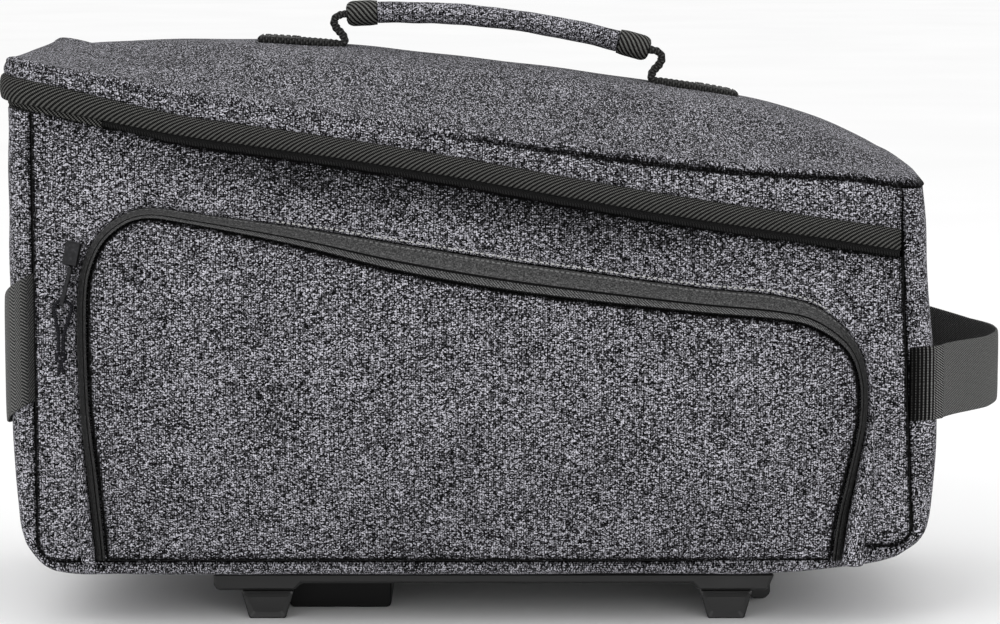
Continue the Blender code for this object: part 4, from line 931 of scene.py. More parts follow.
def make_thread(name, colour=None):
    """Twisted sewing thread, a little uneven in tone."""
    colour = colour or tuple(colours().thread)
    r = Recipe(name, colour, 0.6, specular=0.3)
    fuzz = r.noise(r.place(), 4200, 1.0, flat=False)
    return r.finish(r.ramp(fuzz, tones(colour, (0.3, 0.5), (0.7, 1.6))), fuzz, 0.0001, 0.4)


def make_pale_thread_painted_highlight(name):
    """The pockets' top stitching: pale thread of its own, made paler still to paint the highlight of the
    lit fold it sews.
    """
    return make_thread(name, tuple(4.5 * c for c in colours().thread))


def make_metal(name):
    """Blackened metal, a little worn where the noise is high."""
    colour = tuple(colours().metal)
    r = Recipe(name, colour, 0.42, metallic=0.75, specular=0.5)
    wear = r.noise(r.place(), 900, 3.0, flat=False)
    rough = r.math("MULTIPLY_ADD", wear, 0.3, 0.28)
    return r.finish(r.ramp(wear, tones(colour, (0.35, 0.6), (0.60, 1.0), (0.75, 1.9))),
                    wear, 0.00008, 0.3, rough)


def make_latch_plastic(name):
    """The latch's housing, of a deeper black."""
    return make_plastic(name, tuple(0.22 * c for c in colours().plastic), 0.15)


def make_plastic(name, colour=None, specular=0.35):
    """Moulded plastic: fine grain, faint flow marks and paler scuffs."""
    colour = colour or tuple(colours().plastic)
    r = Recipe(name, colour, 0.42, specular=specular)
    place = r.place()
    grain = r.noise(place, 2600, 1.5, flat=False)
    flow = r.noise(r.scaled(place, 20, 20, 90), 1.0, 2.0, flat=False)
    rough = r.math("ADD", r.total((grain, 0.10), (flow, 0.22)), 0.24)
    colour = r.ramp(flow, tones(colour, (0.3, 0.75), (0.6, 1.1), (0.8, 1.7)))
    return r.finish(colour, r.total((grain, 0.5), (flow, 0.5)), 0.00006, 0.5, rough)


def make_floor(name):
    r = Recipe(name, (0.95, 0.95, 0.95), 0.9, specular=0.0)
    shade = r.noise(r.place(), 3.0, 2.0, flat=False)
    return r.finish(r.ramp(shade, [(0.3, (0.93, 0.93, 0.93)), (0.7, (0.96, 0.96, 0.96))]))


# ---------------------------------------------------------------- settings


class BagLooks(bpy.types.PropertyGroup):
    """Sizes of the finish."""

    knit_step: FloatProperty(name="Knit step", description="Distance between knit columns",
                             default=0.0009, min=0.0002, unit="LENGTH")
    twill_step: FloatProperty(name="Twill step", description="Ridges along the flap's length",
                              default=0.0021, min=0.0005, unit="LENGTH")
    pucker: FloatProperty(name="Pucker", description="Depth of the fabric's unevenness",
                          default=0.0005, min=0.0, unit="LENGTH")
    groove: FloatProperty(name="Seam groove", description="Depth of the lid's seam",
                          default=0.0008, min=0.0, unit="LENGTH")
    stitch: FloatProperty(name="Stitch", description="Length of one stitch",
                          default=0.0021, min=0.0005, unit="LENGTH")


class BagColours(bpy.types.PropertyGroup):
    """Colours of the finish, in linear light."""

    fabric: FloatVectorProperty(name="Fabric", description="Middle tone of the heather",
                                default=(0.074, 0.073, 0.080), subtype="COLOR")
    twill: FloatVectorProperty(name="Twill", description="Flap and wraps",
                               default=(0.036, 0.036, 0.034), subtype="COLOR")
    zip_tape: FloatVectorProperty(name="Zip tape", description="Pocket zips",
                                  default=(0.056, 0.056, 0.056), subtype="COLOR")
    zip_dark: FloatVectorProperty(name="Dark tape", description="Main zip",
                                  default=(0.006, 0.006, 0.006), subtype="COLOR")
    webbing: FloatVectorProperty(name="Webbing", description="Pull loop and straps",
                                 default=(0.072, 0.072, 0.070), subtype="COLOR")
    light_band: FloatVectorProperty(name="Light band", description="Band on the tall end",
                                    default=(0.064, 0.064, 0.063), subtype="COLOR")
    cord: FloatVectorProperty(name="Cord", description="Pull cords",
                              default=(0.012, 0.012, 0.015), subtype="COLOR")
    thread: FloatVectorProperty(name="Thread", description="Visible stitches",
                                default=(0.085, 0.085, 0.083), subtype="COLOR")
    metal: FloatVectorProperty(name="Metal", description="Sliders and pullers",
                               default=(0.022, 0.022, 0.024), subtype="COLOR")
    plastic: FloatVectorProperty(name="Plastic", description="Rack adapter",
                                 default=(0.014, 0.014, 0.014), subtype="COLOR")


# ---------------------------------------------------------------- pieces


def puller_frame(side):
    """Upper end of the puller and its downward and flat directions, as the solids have it."""
    row = POCKET_ARCH[4]
    out = POCKET_ZIP_WIDTH * row.zip + SLIDER_WIDTH * 0.75
    x = TALL_SEAM_X + POCKET_OFFSET + row.along * POCKET_LENGTH - out
    z = SEAM_BOTTOM + POCKET_LIFT + row.up * POCKET_HEIGHT + 0.3 * out
    slant = math.radians(14)
    down = np.array([-math.sin(slant), 0.0, -math.cos(slant)])
    flat = np.array([math.cos(slant), 0.0, -math.sin(slant)])
    reach = side_face(x, z) + PULLER_WIDTH / 2 + 2 * GAP
    top = np.array([x - SLIDER_WIDTH * 0.1, side * reach, z - SLIDER_LENGTH / 2 - GAP])
    return top, down, flat


def cord_route(side):
    """Route of the pull cord: up from the knot, round through the puller and down again."""
    top, down, _ = puller_frame(side)
    hole = top + down * (PULLER_LENGTH - PULLER_WIDTH / 2)
    r, strand = CORD_LOOP_RADIUS, CORD_DIAMETER / 2 + GAP
    face = float(side_face(hole[0], hole[2] - CORD_DROP))
    rest = side * (face + CORD_DIAMETER / 2 + 3 * GAP)
    foot_z = hole[2] - CORD_DROP
    legs = []
    for sign in (-1, 1):
        leg = [
            (sign * strand - CORD_SWAY, rest, foot_z),
            (sign * strand - CORD_SWAY * 0.8, rest, foot_z + CORD_DROP * 0.28),
            (sign * (strand + r) / 2 - CORD_SWAY * 0.4, rest + (hole[1] - rest) * 0.4,
             foot_z + CORD_DROP * 0.58),
            (sign * r, hole[1], hole[2] - r),
            (sign * r * 0.71, hole[1], hole[2] - r * 0.29),
        ]
        legs.append([np.array([hole[0] + x, y, z]) for x, y, z in leg])
    return legs[0] + [hole.copy()] + legs[1][::-1], hole


def oval_tube(line, half_height, half_width, scales, sides=32, groove=0.0, groove_at=-0.35):
    """Oval rings square to a line in the plane of X and Z, with a groove on both sides."""
    tangent = directions(line)
    up = np.column_stack([-tangent[:, 2], np.zeros(len(line)), tangent[:, 0]])
    turns = np.linspace(0, 2 * math.pi, sides, endpoint=False)
    near = np.abs(np.angle(np.exp(1j * (turns - groove_at))))
    far = np.abs(np.angle(np.exp(1j * (turns - (np.pi - groove_at)))))
    dent = 1 - groove * (np.exp(-((near / 0.13) ** 2)) + np.exp(-((far / 0.13) ** 2)))
    high = (np.sin(turns) * dent)[None, :, None] * half_height * up[:, None]
    wide = (np.cos(turns) * dent)[None, :, None] * half_width * np.array([0.0, 1.0, 0.0])
    return line[:, None] + (high + wide) * np.asarray(scales)[:, None, None]


def grip_line(count, start=0.0, end=1.0):
    """Centre line of the grip: straight between its ends, plus a parabola."""
    shares = np.linspace(start, end, count)
    x = HANDLE_SHIFT - GRIP_LENGTH / 2 + GRIP_LENGTH * shares
    ends = np.array([HANDLE_SHIFT - GRIP_LENGTH / 2, HANDLE_SHIFT + GRIP_LENGTH / 2])
    z_ends = lid_face(ends) + GRIP_CLEARANCE
    z = z_ends[0] + (z_ends[1] - z_ends[0]) * shares + GRIP_ARCH * 4 * shares * (1 - shares)
    return np.column_stack([x, np.zeros(count), z])


def wrap_shares(sign):
    """Start and end of an end wrap, as shares of the grip's length."""
    length, gap = WRAP_LENGTH / GRIP_LENGTH, GAP / GRIP_LENGTH
    return (-length - gap, -gap) if sign < 0 else (1 + gap, 1 + length + gap)


def strap_line(sign, count):
    """Centre line of a strap: sewn to the lid, then up into the grip's end."""
    start, end = wrap_shares(sign)
    wrap_end = grip_line(2, start, end)[0 if sign < 0 else -1]
    foot_x = wrap_end[0] + sign * STRAP_SWAY * 0.4
    above = STRAP_THICKNESS / 2 + 2 * GAP
    sewn_x = foot_x + sign * STRAP_LENGTH * np.array([1.0, 0.75, 0.5, 0.25, 0.1])
    low = float(lid_face(foot_x)) + above
    rise = np.array([(wrap_end[0] + sign * (STRAP_SWAY * r.out + 2 * GAP),
                      low + (wrap_end[2] - low) * r.up) for r in STRAP_RISE])
    points = np.vstack([np.column_stack([sewn_x, lid_face(sewn_x) + above]), rise])
    line = smooth_curve(points, count)
    return np.column_stack([line[:, 0], np.zeros(count), line[:, 1]])


def flat_bar(line, up, half_width, thickness, rows=4, cols=14, edge=0.35):
    """Webbing: a flat band with rounded edges round a line whose width runs along Y."""
    turns = np.linspace(0, 2 * np.pi, 2 * (rows + cols), endpoint=False)
    wide = np.sign(np.cos(turns)) * np.abs(np.cos(turns)) ** edge
    high = np.sign(np.sin(turns)) * np.abs(np.sin(turns)) ** 0.5
    across = np.asarray(half_width)[:, None, None] * wide[None, :, None] * np.array([0.0, 1.0, 0.0])
    return line[:, None] + across + up[:, None] * (high * thickness / 2)[None, :, None]


def arch_rings(side, stations, section):
    """Rings round the pocket: each corner is an offset from its edge and a depth."""
    _, place, outward, _, _ = stations
    offset, depth = section
    flat = place[:, None] + outward[:, None] * offset[..., None]
    y = side_face(flat[..., 0], flat[..., 1]) + depth
    return np.stack([flat[..., 0], side * y, flat[..., 1]], -1)


def lid_rings(section, keep=None):
    """Rings round the lid: each corner is an outward offset and a height."""
    places, outward = lid_plan()
    if keep is not None:
        places, outward = places[keep], outward[keep]
    offset, height = section
    flat = places[:, None] + outward[:, None] * offset[..., None]
    return np.concatenate([flat, height[..., None]], -1)


class PieceOperator:
    """Shared by the operators: undo, and a result once the work is done."""

    bl_options = {"REGISTER", "UNDO"}

    def execute(self, context):
        self.build()
        return {"FINISHED"}


class BAG_OT_pull_cords(PieceOperator, bpy.types.Operator):
    """Make the cord loop and the knot of each pocket's zip pull"""

    bl_idname = "bag.pull_cords"
    bl_label = "Pull cords"

    def build(self):
        finish = finish_of("braided_cord", make_cord)
        for name, side in SIDES:
            route, hole = cord_route(side)
            line = smooth_curve(route, 34)
            curve = bpy.data.curves.new(f"cord_loop_{name}", "CURVE")
            curve.dimensions = "3D"
            curve.bevel_depth = CORD_DIAMETER / 2
            curve.bevel_resolution = 3
            curve.use_fill_caps = True
            spline = curve.splines.new("POLY")
            spline.points.add(len(line) - 1)
            spline.points.foreach_set("co", np.column_stack([line, np.ones(len(line))]).ravel())
            curve.materials.append(finish)
            cord = bpy.data.objects.new(f"cord_loop_{name}", curve)
            bpy.context.scene.collection.objects.link(cord)
            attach(cord, "root")
            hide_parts(f"pull_cord_{name}")
            knot = self.knot(name, side, line, finish)

    def knot(self, name, side, line, finish):
        """Overhand knot: a strand bent in lobes round its centre, and two short tails."""
        top = (line[0] + line[-1]) / 2 - np.array([0.0, 0.0, GAP])
        face = float(side_face(top[0], top[2])) + GAP * 2
        turn = np.linspace(0, 2 * np.pi, 60)
        lobes = np.column_stack([
            1.25 * np.sin(turn) + 0.55 * np.sin(2 * turn),
            0.55 * np.cos(3 * turn) * np.sign(side),
            1.5 * np.cos(turn) + 0.5 * np.cos(2 * turn),
        ]) * 0.00105
        centre = np.array([top[0], side * (face + 0.00165), top[2] - 0.0024])
        strand = smooth_curve((centre + lobes)[:-2], 60)
        radius = CORD_DIAMETER / 2
        sheets = [self.tube(strand, np.full(60, radius))]
        for lean, length in ((-0.0012, 0.0062), (0.0009, 0.0046)):
            tail = np.array([(0, 0, 0), (lean * 0.3, 0, -length * 0.4), (lean, 0, -length)])
            tail = smooth_curve(centre + np.array([0, 0, -0.0008]) + tail, 14)
            sheets.append(self.tube(tail, np.linspace(radius, radius * 0.9, 14)))
        knot = make_piece(f"knot_{name}", sheets, finish, closed=True)
        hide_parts(f"cord_knot_{name}")
        return knot

    @staticmethod
    def tube(line, radii, sides=10):
        """Round rings square to a line, turned so that they don't twist."""
        t = directions(line)
        side = np.cross(t, np.array([0.0, 1.0, 0.001]))
        side /= np.maximum(np.linalg.norm(side, axis=1)[:, None], 1e-9)
        up = np.cross(side, t)
        turns = np.linspace(0, 2 * np.pi, sides, endpoint=False)
        rings = line[:, None] + radii[:, None, None] * (
            np.cos(turns)[None, :, None] * side[:, None] + np.sin(turns)[None, :, None] * up[:, None])
        rings = closed_bar(rings)
        return sheet(rings, ring_cloth(rings), around=True)


class BAG_OT_side_panels(PieceOperator, bpy.types.Operator):
    """Make the padded side panels inside their seams"""

    bl_idname = "bag.side_panels"
    bl_label = "Side panels"

    def build(self):
        """Patch between the seams; its face is the panel's crown, less a rolled edge."""
        x_ends = np.linspace(TALL_SEAM_X, float(low_seam_x(rim(HINGE_X))), 80)
        top = np.column_stack([x_ends, rim(x_ends)])
        low_line = seam_points(np.linspace(4, 5, 60))[0]
        low_share = float(np.interp(top[-1, 1], low_line[:, 1], np.linspace(0, 1, 60)))
        left = seam_points(np.concatenate([np.linspace(0, 1, 12), np.linspace(1, 1.5, 12)[1:]]))[0][::-1]
        right = seam_points(np.concatenate([np.linspace(3.5, 3.999, 12),
                                            np.linspace(4, 4 + low_share, 12)]))[0]
        bottom = seam_points(np.concatenate([np.linspace(1.5, 1.999, 12),
                                             np.linspace(2, 2.999, 90),
                                             np.linspace(3, 3.5, 12)]))[0]
        grid = coons(bottom, top, left, right, crowded_ends(150), crowded_ends(80))
        x, z = grid[..., 0], grid[..., 1]
        distance = edge_distance(grid)
        back = side_face(x, z) - WALL
        dents = looks().pucker * (ripple(x, z, 0.05, 11) - 1.2) * smooth_step(distance / 0.02)
        tucks = 0.0005 * ripple(x, z, 0.012, 12) * np.exp(-((distance - 0.004) / 0.004) ** 2)
        folds = sum(depth * self.fold(x, z, *ends) for *ends, depth in SIDE_FOLDS)
        front = back + EDGE + (WALL - EDGE) * rolled(distance) + np.minimum(dents + tucks, 0.0002)
        front = front - folds * smooth_step(distance / 0.006)
        # painted shade: a shadow under the flap along the side's middle, a dark line and soft fall in the
        # seams, and shade along the folds
        painted_flap_shadow = np.exp(-(((rim(x) - z) / 0.014) ** 2)) * (0.08 + 0.20 * smooth_step(
            (x + 0.16) / 0.08) * smooth_step((0.10 - x) / 0.06))
        dark = seam_shade(distance) + painted_flap_shadow + folds * 150
        for name, side in SIDES:
            points = np.stack([x, side * front, z], -1)
            cloth = np.stack([x + 0.05 * side, z], -1)
            piece = make_piece(f"side_cloth_{name}", [sheet(points, cloth)],
                               finish_of("heather_jersey", make_heather), thickness=0.0016,
                               dark=dark)
            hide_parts(f"side_panel_{name}")


    @staticmethod
    def fold(x, z, x0, z0, x1, z1):
        """Fold along a line: 1 on it, falling off as exp(-(d / 1.8 mm)^2)."""
        ahead = np.array([x1 - x0, z1 - z0])
        share = np.clip(((x - x0) * ahead[0] + (z - z0) * ahead[1]) / (ahead @ ahead), 0, 1)
        away = np.hypot(x - x0 - share * ahead[0], z - z0 - share * ahead[1])
        return np.exp(-((away / 0.0018) ** 2))


class BAG_OT_end_panel(PieceOperator, bpy.types.Operator):
    """Make the strip of fabric down the tall end, under the base and up the low end"""

    bl_idname = "bag.end_panel"
    bl_label = "Ends and base"

    def build(self):
        """Seam path carried across, pushed out by the bulge's depth times its section."""
        at = np.concatenate([np.linspace(0, 1, 60), np.linspace(1, 2, 16)[1:],
                             np.linspace(2, 3, 110)[1:], np.linspace(3, 4, 16)[1:],
                             np.linspace(4, 5, 50)[1:]])
        places, outs = seam_points(at)
        steep = np.linspace(0.8, 0, 26) ** 1.2
        across = mirrored(np.concatenate([
            np.linspace(0, 1, 22)[:-1] * bulge(steep[0]), bulge(steep)]))
        depth = wrap_depth(at)[:, None] * bulge(across)[None]
        run = run_of(places)
        u, v = across[None] * WRAP_HALF_WIDTH, run[:, None]
        inside = smooth_step((1 - np.abs(across)) / 0.15)[None]
        depth = depth + looks().pucker * (ripple(u, v, 0.045, 21) - 1.1) * inside
        flat = places[:, None] + outs[:, None] * depth[..., None]
        points = np.stack([flat[..., 0], np.broadcast_to(u, depth.shape), flat[..., 1]], -1)
        over = walked(points)
        cloth = np.stack([over, np.broadcast_to(v, depth.shape)], -1)
        # painted shade: a dark line and soft fall along the panel's two seams
        dark = seam_shade(np.abs(over[:, -1:]) - np.abs(over), 0.0008)
        piece = make_piece("end_and_base_cloth", [sheet(points, cloth)],
                           finish_of("heather_jersey", make_heather), thickness=0.0016,
                           dark=dark)
        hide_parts("end_and_base_panel")


class BAG_OT_lid(PieceOperator, bpy.types.Operator):
    """Make the padded lid: its domed top and the upright band below its seam"""

    bl_idname = "bag.lid"
    bl_label = "Lid"

    def build(self):
        top, top_painted_shade = self.top()
        band, band_painted_shade = self.band(top)
        piece = make_piece("lid_cloth", [top, band], finish_of("heather_jersey", make_heather),
                           thickness=0.0016, weld=2e-5,
                           dark=np.concatenate([top_painted_shade.ravel(), band_painted_shade.ravel()]))
        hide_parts("lid_top", "lid_band")

    def seam_strength(self, x):
        """The seam is faint at the tall end and deep near the low end."""
        return 0.15 + 0.85 * smooth_step((x + 0.06) / 0.12)

    def top(self):
        """Dome over the crease, rolled down at its edge, settled as cloth."""
        along, across = np.meshgrid(lid_alongs(), mirrored(LID_ACROSS), indexing="ij")
        half = lid_half_width(along)
        y = across * half
        x = LID_TALL_X + along * (lid_low_edge(y) - LID_TALL_X)
        distance = np.minimum(np.minimum(half - np.abs(y), x - LID_TALL_X), lid_low_edge(y) - x)
        distance = np.maximum(distance, 0)
        z = lid_inner(along, across, y) + EDGE + (WALL - EDGE) * rolled(distance)
        z = z + looks().pucker * 1.2 * ripple(x, y, 0.06, 31) * smooth_step(distance / 0.02)
        corner = np.hypot(x - LID_TALL_X - 0.007, np.abs(y) - OUTER_HALF_WIDTH + 0.007)
        z = z + 0.0007 * np.exp(-((corner / 0.009) ** 2))
        z = z + 0.7 * end_dip(y) * (1 - smooth_step(along / 0.06))
        points = settle("lid", np.stack([x, y, z], -1), smooth_step(distance / 0.015), 0.6, 0.0012)
        groove = looks().groove * self.seam_strength(x) * np.exp(-((distance / 0.0011) ** 2))
        side = np.where(np.abs(y) > half - 0.004, np.sign(y), 0.0)
        points = points - np.stack([np.zeros_like(x), side * groove, groove * 0.6], -1)
        # painted shade: an even 0.04 over the lid's top and a dark line in its seam's groove
        dark = 0.04 + 0.62 * self.seam_strength(x) * np.exp(-((distance / 0.0007) ** 2))
        return sheet(points, np.stack([walked(points), x], -1)), dark

    def band(self, top):
        """Band from the top's own edge down behind the flap, a little puffed."""
        places, outward = lid_plan()
        rows, cols = len(lid_alongs()), len(mirrored(LID_ACROSS))
        grid = top[0].reshape(rows, cols, 3)
        edge = np.concatenate([grid[::-1, 0], grid[0, 1:-1], grid[:, -1]])
        x = places[:, 0]
        bottom = flap_top(x) - FLAP_OVERLAP
        drop = crowded_ends(16, 0.6)[None]
        height = edge[:, 2:] + (bottom[:, None] - edge[:, 2:]) * drop
        depth = edge[:, 2:] - height
        groove = looks().groove * self.seam_strength(x)[:, None]
        puff = 0.0007 * np.sin(np.pi * np.clip(drop * 1.4, 0, 1)) - groove * np.exp(
            -((depth / 0.0011) ** 2))
        run = run_of(places)
        puff = puff + 0.0004 * ripple(run[:, None], depth, 0.03, 33) * smooth_step(drop / 0.3)
        flat = places[:, None] + outward[:, None] * puff[..., None]
        points = np.concatenate([flat, height[..., None]], -1)
        points[:, 0] = edge
        cloth = np.stack([np.broadcast_to(run[:, None] + 0.3, depth.shape), height], -1)
        # painted shade: an even 0.04 over the band and a dark line in its seam's groove
        dark = 0.04 + 0.62 * self.seam_strength(x)[:, None] * np.exp(-((depth / 0.0007) ** 2))
        return sheet(points, cloth), dark


class BAG_OT_main_zip(PieceOperator, bpy.types.Operator):
    """Make the lid's zip, the twill flap over it and the tape over its end"""

    bl_idname = "bag.main_zip"
    bl_label = "Lid zip and flap"

    def build(self):
        self.flap()
        places, _ = lid_plan()
        x = places[:, 0]
        top = flap_top(x) - FLAP_OVERLAP - GAP
        bottom = rim(x) - 2 * GAP
        dark = finish_of("dark_zip_tape", make_zip_dark)
        self.lining(dark)
        zip_piece = self.strip("main_zip_tape", -ZIP_INSET, ZIP_THICKNESS, top, bottom, dark)
        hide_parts("main_zip")
        keep = x <= LID_TALL_X + LID_CORNER_RADIUS + RIM_TAPE_LENGTH
        front = -ZIP_INSET + GAP + RIM_TAPE_THICKNESS
        tape = self.strip("zip_end_tape", front, RIM_TAPE_THICKNESS, top[keep], bottom[keep],
                          finish_of("flap_twill", make_twill), keep)
        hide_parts("rim_tape")

    @staticmethod
    def lining(finish):
        """Dark sheet level with the side panels' rim, which closes the bag under its lid."""
        across = mirrored(crowded(24, 2.2))[None]
        along = np.linspace(0, 1, 60)[:, None]
        end = TALL_SEAM_X - TALL_BULGE * bulge(across) + 0.0012
        x = end + (HINGE_X - end) * along
        y = np.broadcast_to(across * (OUTER_HALF_WIDTH - 0.0022), x.shape)
        points = np.stack([x, y, rim(x) - 0.0006], -1)
        piece = make_piece("zip_lining", [sheet(points, points[..., :2])], finish,
                           thickness=0.0008)

    def strip(self, name, front, thickness, top, bottom, finish, keep=None):
        """Upright strip: a rounded bar between two heights, puffed in its middle."""
        turns = np.linspace(0, 2 * np.pi, 24, endpoint=False)
        lift = (1 + np.sign(np.sin(turns)) * np.abs(np.sin(turns)) ** 0.6) / 2
        height = bottom[:, None] + (top - bottom)[:, None] * lift[None]
        offset = front - thickness / 2 + thickness / 2 * np.sign(np.cos(turns)) * np.abs(
            np.cos(turns)) ** 0.5
        rings = lid_rings((np.broadcast_to(offset, height.shape), height), keep)
        cloth = ring_cloth(rings)
        slant = cloth[..., 0] - 1.2 * cloth[..., 1]
        return make_piece(name, [sheet(closed_bar(rings), self.padded_cloth(slant, cloth),
                                       around=True)], finish, closed=True)

    @staticmethod
    def padded_cloth(u, cloth):
        """Cloth coordinates with the end rings doubled for the caps."""
        made = np.stack([u, cloth[..., 1]], -1)
        return np.concatenate([made[:1], made, made[-1:]])

    def flap(self):
        """Flap's section: thin top edge, full belly, rounded lower edge, flat back."""
        places, _ = lid_plan()
        x = places[:, 0]
        top = flap_top(x)[:, None]
        height = (FLAP_HEIGHT * lid_row("flap", (x - LID_TALL_X) / LID_LENGTH))[:, None]
        down = np.array([0.0, 0.02, 0.07, 0.15, 0.26, 0.38, 0.50, 0.62, 0.74, 0.84, 0.92, 0.97,
                         1.0, 0.99, 0.96, 0.93, 0.6, 0.3])
        out = np.array([0.10, 0.45, 0.70, 0.86, 0.96, 1.02, 1.04, 1.03, 0.99, 0.93, 0.84, 0.72,
                        0.55, 0.35, 0.15, 0.0, 0.0, 0.0])
        run = run_of(places)[:, None]
        sway = 1 + 0.10 * ripple(run, down[None] * 0.01, 0.035, 41)
        offset = GAP + FLAP_THICKNESS * out[None] * sway
        rings = lid_rings((offset, top - height * down[None]))
        cloth = ring_cloth(rings)
        v = 0.0105 - cloth[..., 1]
        bend = 0.7 * v + 57 * v * np.abs(v)
        near = (run <= run[-1] / 2) * 2.0 - 1
        turned = near * (cloth[..., 0] - run[-1] / 2)
        sheets = [sheet(closed_bar(rings), self.padded_cloth(turned + bend, cloth),
                        around=True)]
        piece = make_piece("zip_flap_tape", sheets, finish_of("flap_twill", make_twill),
                           closed=True)
        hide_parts("zip_flap")


class BAG_OT_pockets(PieceOperator, bpy.types.Operator):
    """Make each side pocket: its panel, its zip gusset and the rolled fabric beside it"""

    bl_idname = "bag.pockets"
    bl_label = "Side pockets"

    def build(self):
        x, z, depth, dark = self.panel_shape()
        for name, side in SIDES:
            points = np.stack([x, side * depth, z], -1)
            cloth = np.stack([x + 0.11 * side, z + 0.4], -1)
            panel = make_piece(f"pocket_cloth_{name}", [sheet(points, cloth)],
                               finish_of("heather_jersey", make_heather), thickness=0.0014,
                               dark=dark)
            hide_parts(f"pocket_panel_{name}")
            self.gusset(name, side)
            self.rolls(name, side)

    def panel_shape(self):
        """Crowned patch inside the arch, rolled at its edge, settled as cloth."""
        left, top, right = arch_lines()
        bottom = np.array([left[0], right[0]])
        us, vs = crowded_ends(150), crowded_ends(74)
        grid = coons(bottom, top, left, right, us, vs)
        x, z = grid[..., 0], grid[..., 1]
        u, v = np.meshgrid(us, vs)
        crown = POCKET_CROWN * (4 * u * (1 - u)) ** 0.7 * (4 * v * (1 - v)) ** 0.7
        distance = edge_distance(grid)
        depth = pocket_edge_depth(z) * (0.70 + 0.30 * rolled(distance)) + crown
        depth = depth + looks().pucker * (ripple(x, z, 0.055, 51) - 0.6) * smooth_step(distance / 0.02)
        tucks = 0.0004 * ripple(x, z, 0.014, 52) * np.exp(-((distance - 0.005) / 0.004) ** 2)
        front = side_face(x, z) + depth + tucks
        points = settle("pocket", np.stack([x, -front, z], -1), smooth_step(distance / 0.012),
                        0.5, 0.0010)
        # painted shade: an even 0.045 over the panel and a dark line and soft fall at its rolled edge
        return points[..., 0], points[..., 2], -points[..., 1], 0.045 + seam_shade(distance, 0.0010)

    def gusset(self, name, side):
        """Zip gusset: from the panel's edge back to the side panel, with the zip's line."""
        stations = arch_stations(420)
        run, place, _, width, up = stations
        front = pocket_edge_depth(place[:, 1]) * 0.92
        t = np.linspace(0, 1, 31)
        shape = 1 - t**1.35
        line = np.exp(-(((t - 0.33) / 0.045) ** 2))
        depth = front[:, None] * shape[None] + GAP - 0.0009 * line[None]
        depth = depth + 0.0005 * np.sin(np.pi * np.clip((t - 0.39) / 0.61, 0, 1))[None]
        depth = depth + 0.0004 * np.sin(np.pi * np.clip((t - 0.05) / 0.23, 0, 1))[None]
        offset = GAP + (width[:, None] - GAP) * t[None]
        back = t[::-1][1:-1]
        deep = np.maximum(front[:, None] * (1 - back**1.35)[None] - 0.0012, 0.0) + GAP
        offset = np.concatenate([offset, GAP + (width[:, None] - GAP) * back[None]], 1)
        depth = np.concatenate([depth, deep], 1)
        rings = arch_rings(side, stations, (offset, depth))
        u = np.broadcast_to(run[:, None], (len(run), rings.shape[1] + 1))
        share = np.concatenate([t, back, [0.0]])
        v = np.broadcast_to(share[None] * 0.012, u.shape)
        cloth = np.stack([u, v], -1)
        cloth = np.concatenate([cloth[:1], cloth, cloth[-1:]])
        part = run / run[-1]
        shade = 0.45 * (smooth_step((0.30 - part) / 0.12) + smooth_step((part - 0.80) / 0.06))
        shade = np.broadcast_to(shade[:, None], rings.shape[:2])
        shade = np.concatenate([shade[:1], shade, shade[-1:]])
        piece = make_piece(f"pocket_zip_tape_{name}", [sheet(closed_bar(rings), cloth, around=True)],
                           finish_of("pocket_zip_tape", make_pocket_zip), closed=True,
                           dark=shade)
        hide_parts(f"pocket_zip_{name}")

    def rolls(self, name, side):
        """Rolled fabric edge outside the gusset: thin above the zip, swelling to each foot."""
        run, place, outward, width, up = arch_stations(520)
        tail = np.linspace(1, 0, 14, endpoint=False)
        reach = ROLL_TAIL * tail[:, None] * directions(place)[[0, -1], None]
        place = np.concatenate([place[:1] - reach[0], place, (place[-1:] + reach[1])[::-1]])
        run, outward, width, up = (
            np.concatenate([np.repeat(a[:1], 14, 0), a, np.repeat(a[-1:], 14, 0)])
            for a in (run, outward, width, up))
        past = np.concatenate([tail, np.zeros(520), tail[::-1]])
        share = run / run[-1]
        foot = np.where(share < 0.5, 0.0024 * smooth_step((0.52 - up) / 0.46),
                        0.0036 * smooth_step((0.60 - up) / 0.50))
        lip = smooth_step((share - 0.36) / 0.08) * smooth_step((0.82 - share) / 0.04)
        radius = (0.00035 + 0.00065 * lip + foot) * np.sqrt(1 - 0.9 * past**2)
        turns = np.linspace(0, 2 * np.pi, 18, endpoint=False)
        uneven = 1 + 0.12 * ripple(run[:, None], 0 * turns[None], 0.025, 71)
        thick = radius[:, None] * uneven
        offset = width[:, None] + 0.0005 + thick * (0.8 + np.cos(turns)[None])
        depth = thick * 0.8 * (1 + np.sin(turns)[None]) + GAP - 0.0024 * past[:, None] ** 2
        rings = arch_rings(side, (run, place, outward, width, up), (offset, depth))
        around = np.append(turns, 2 * np.pi)[None] * radius[:, None]
        along = run_of(place)[:, None]
        cloth = np.stack([np.broadcast_to(along, around.shape), around + 0.02], -1)
        cloth = np.concatenate([cloth[:1], cloth, cloth[-1:]])
        # painted shade on the roll's side that lies against the side panel
        shade = np.broadcast_to(0.75 * smooth_step(0.2 - np.sin(turns)), rings.shape[:2])
        shade = np.concatenate([shade[:1], shade, shade[-1:]])
        piece = make_piece(f"pocket_roll_{name}", [sheet(closed_bar(rings), cloth, around=True)],
                           finish_of("heather_jersey", make_heather), closed=True, dark=shade)
        kept = (share > 0.38) & (share < 0.81)
        crest = (width + 0.0005 + 0.8 * thick[:, 0], 1.6 * thick[:, 0] + GAP)
        path = arch_rings(side, (run, place, outward, width, up),
                          tuple(part[:, None] for part in crest))[kept, 0]
        normals = np.tile([0.0, side, 0.0], (len(path), 1))
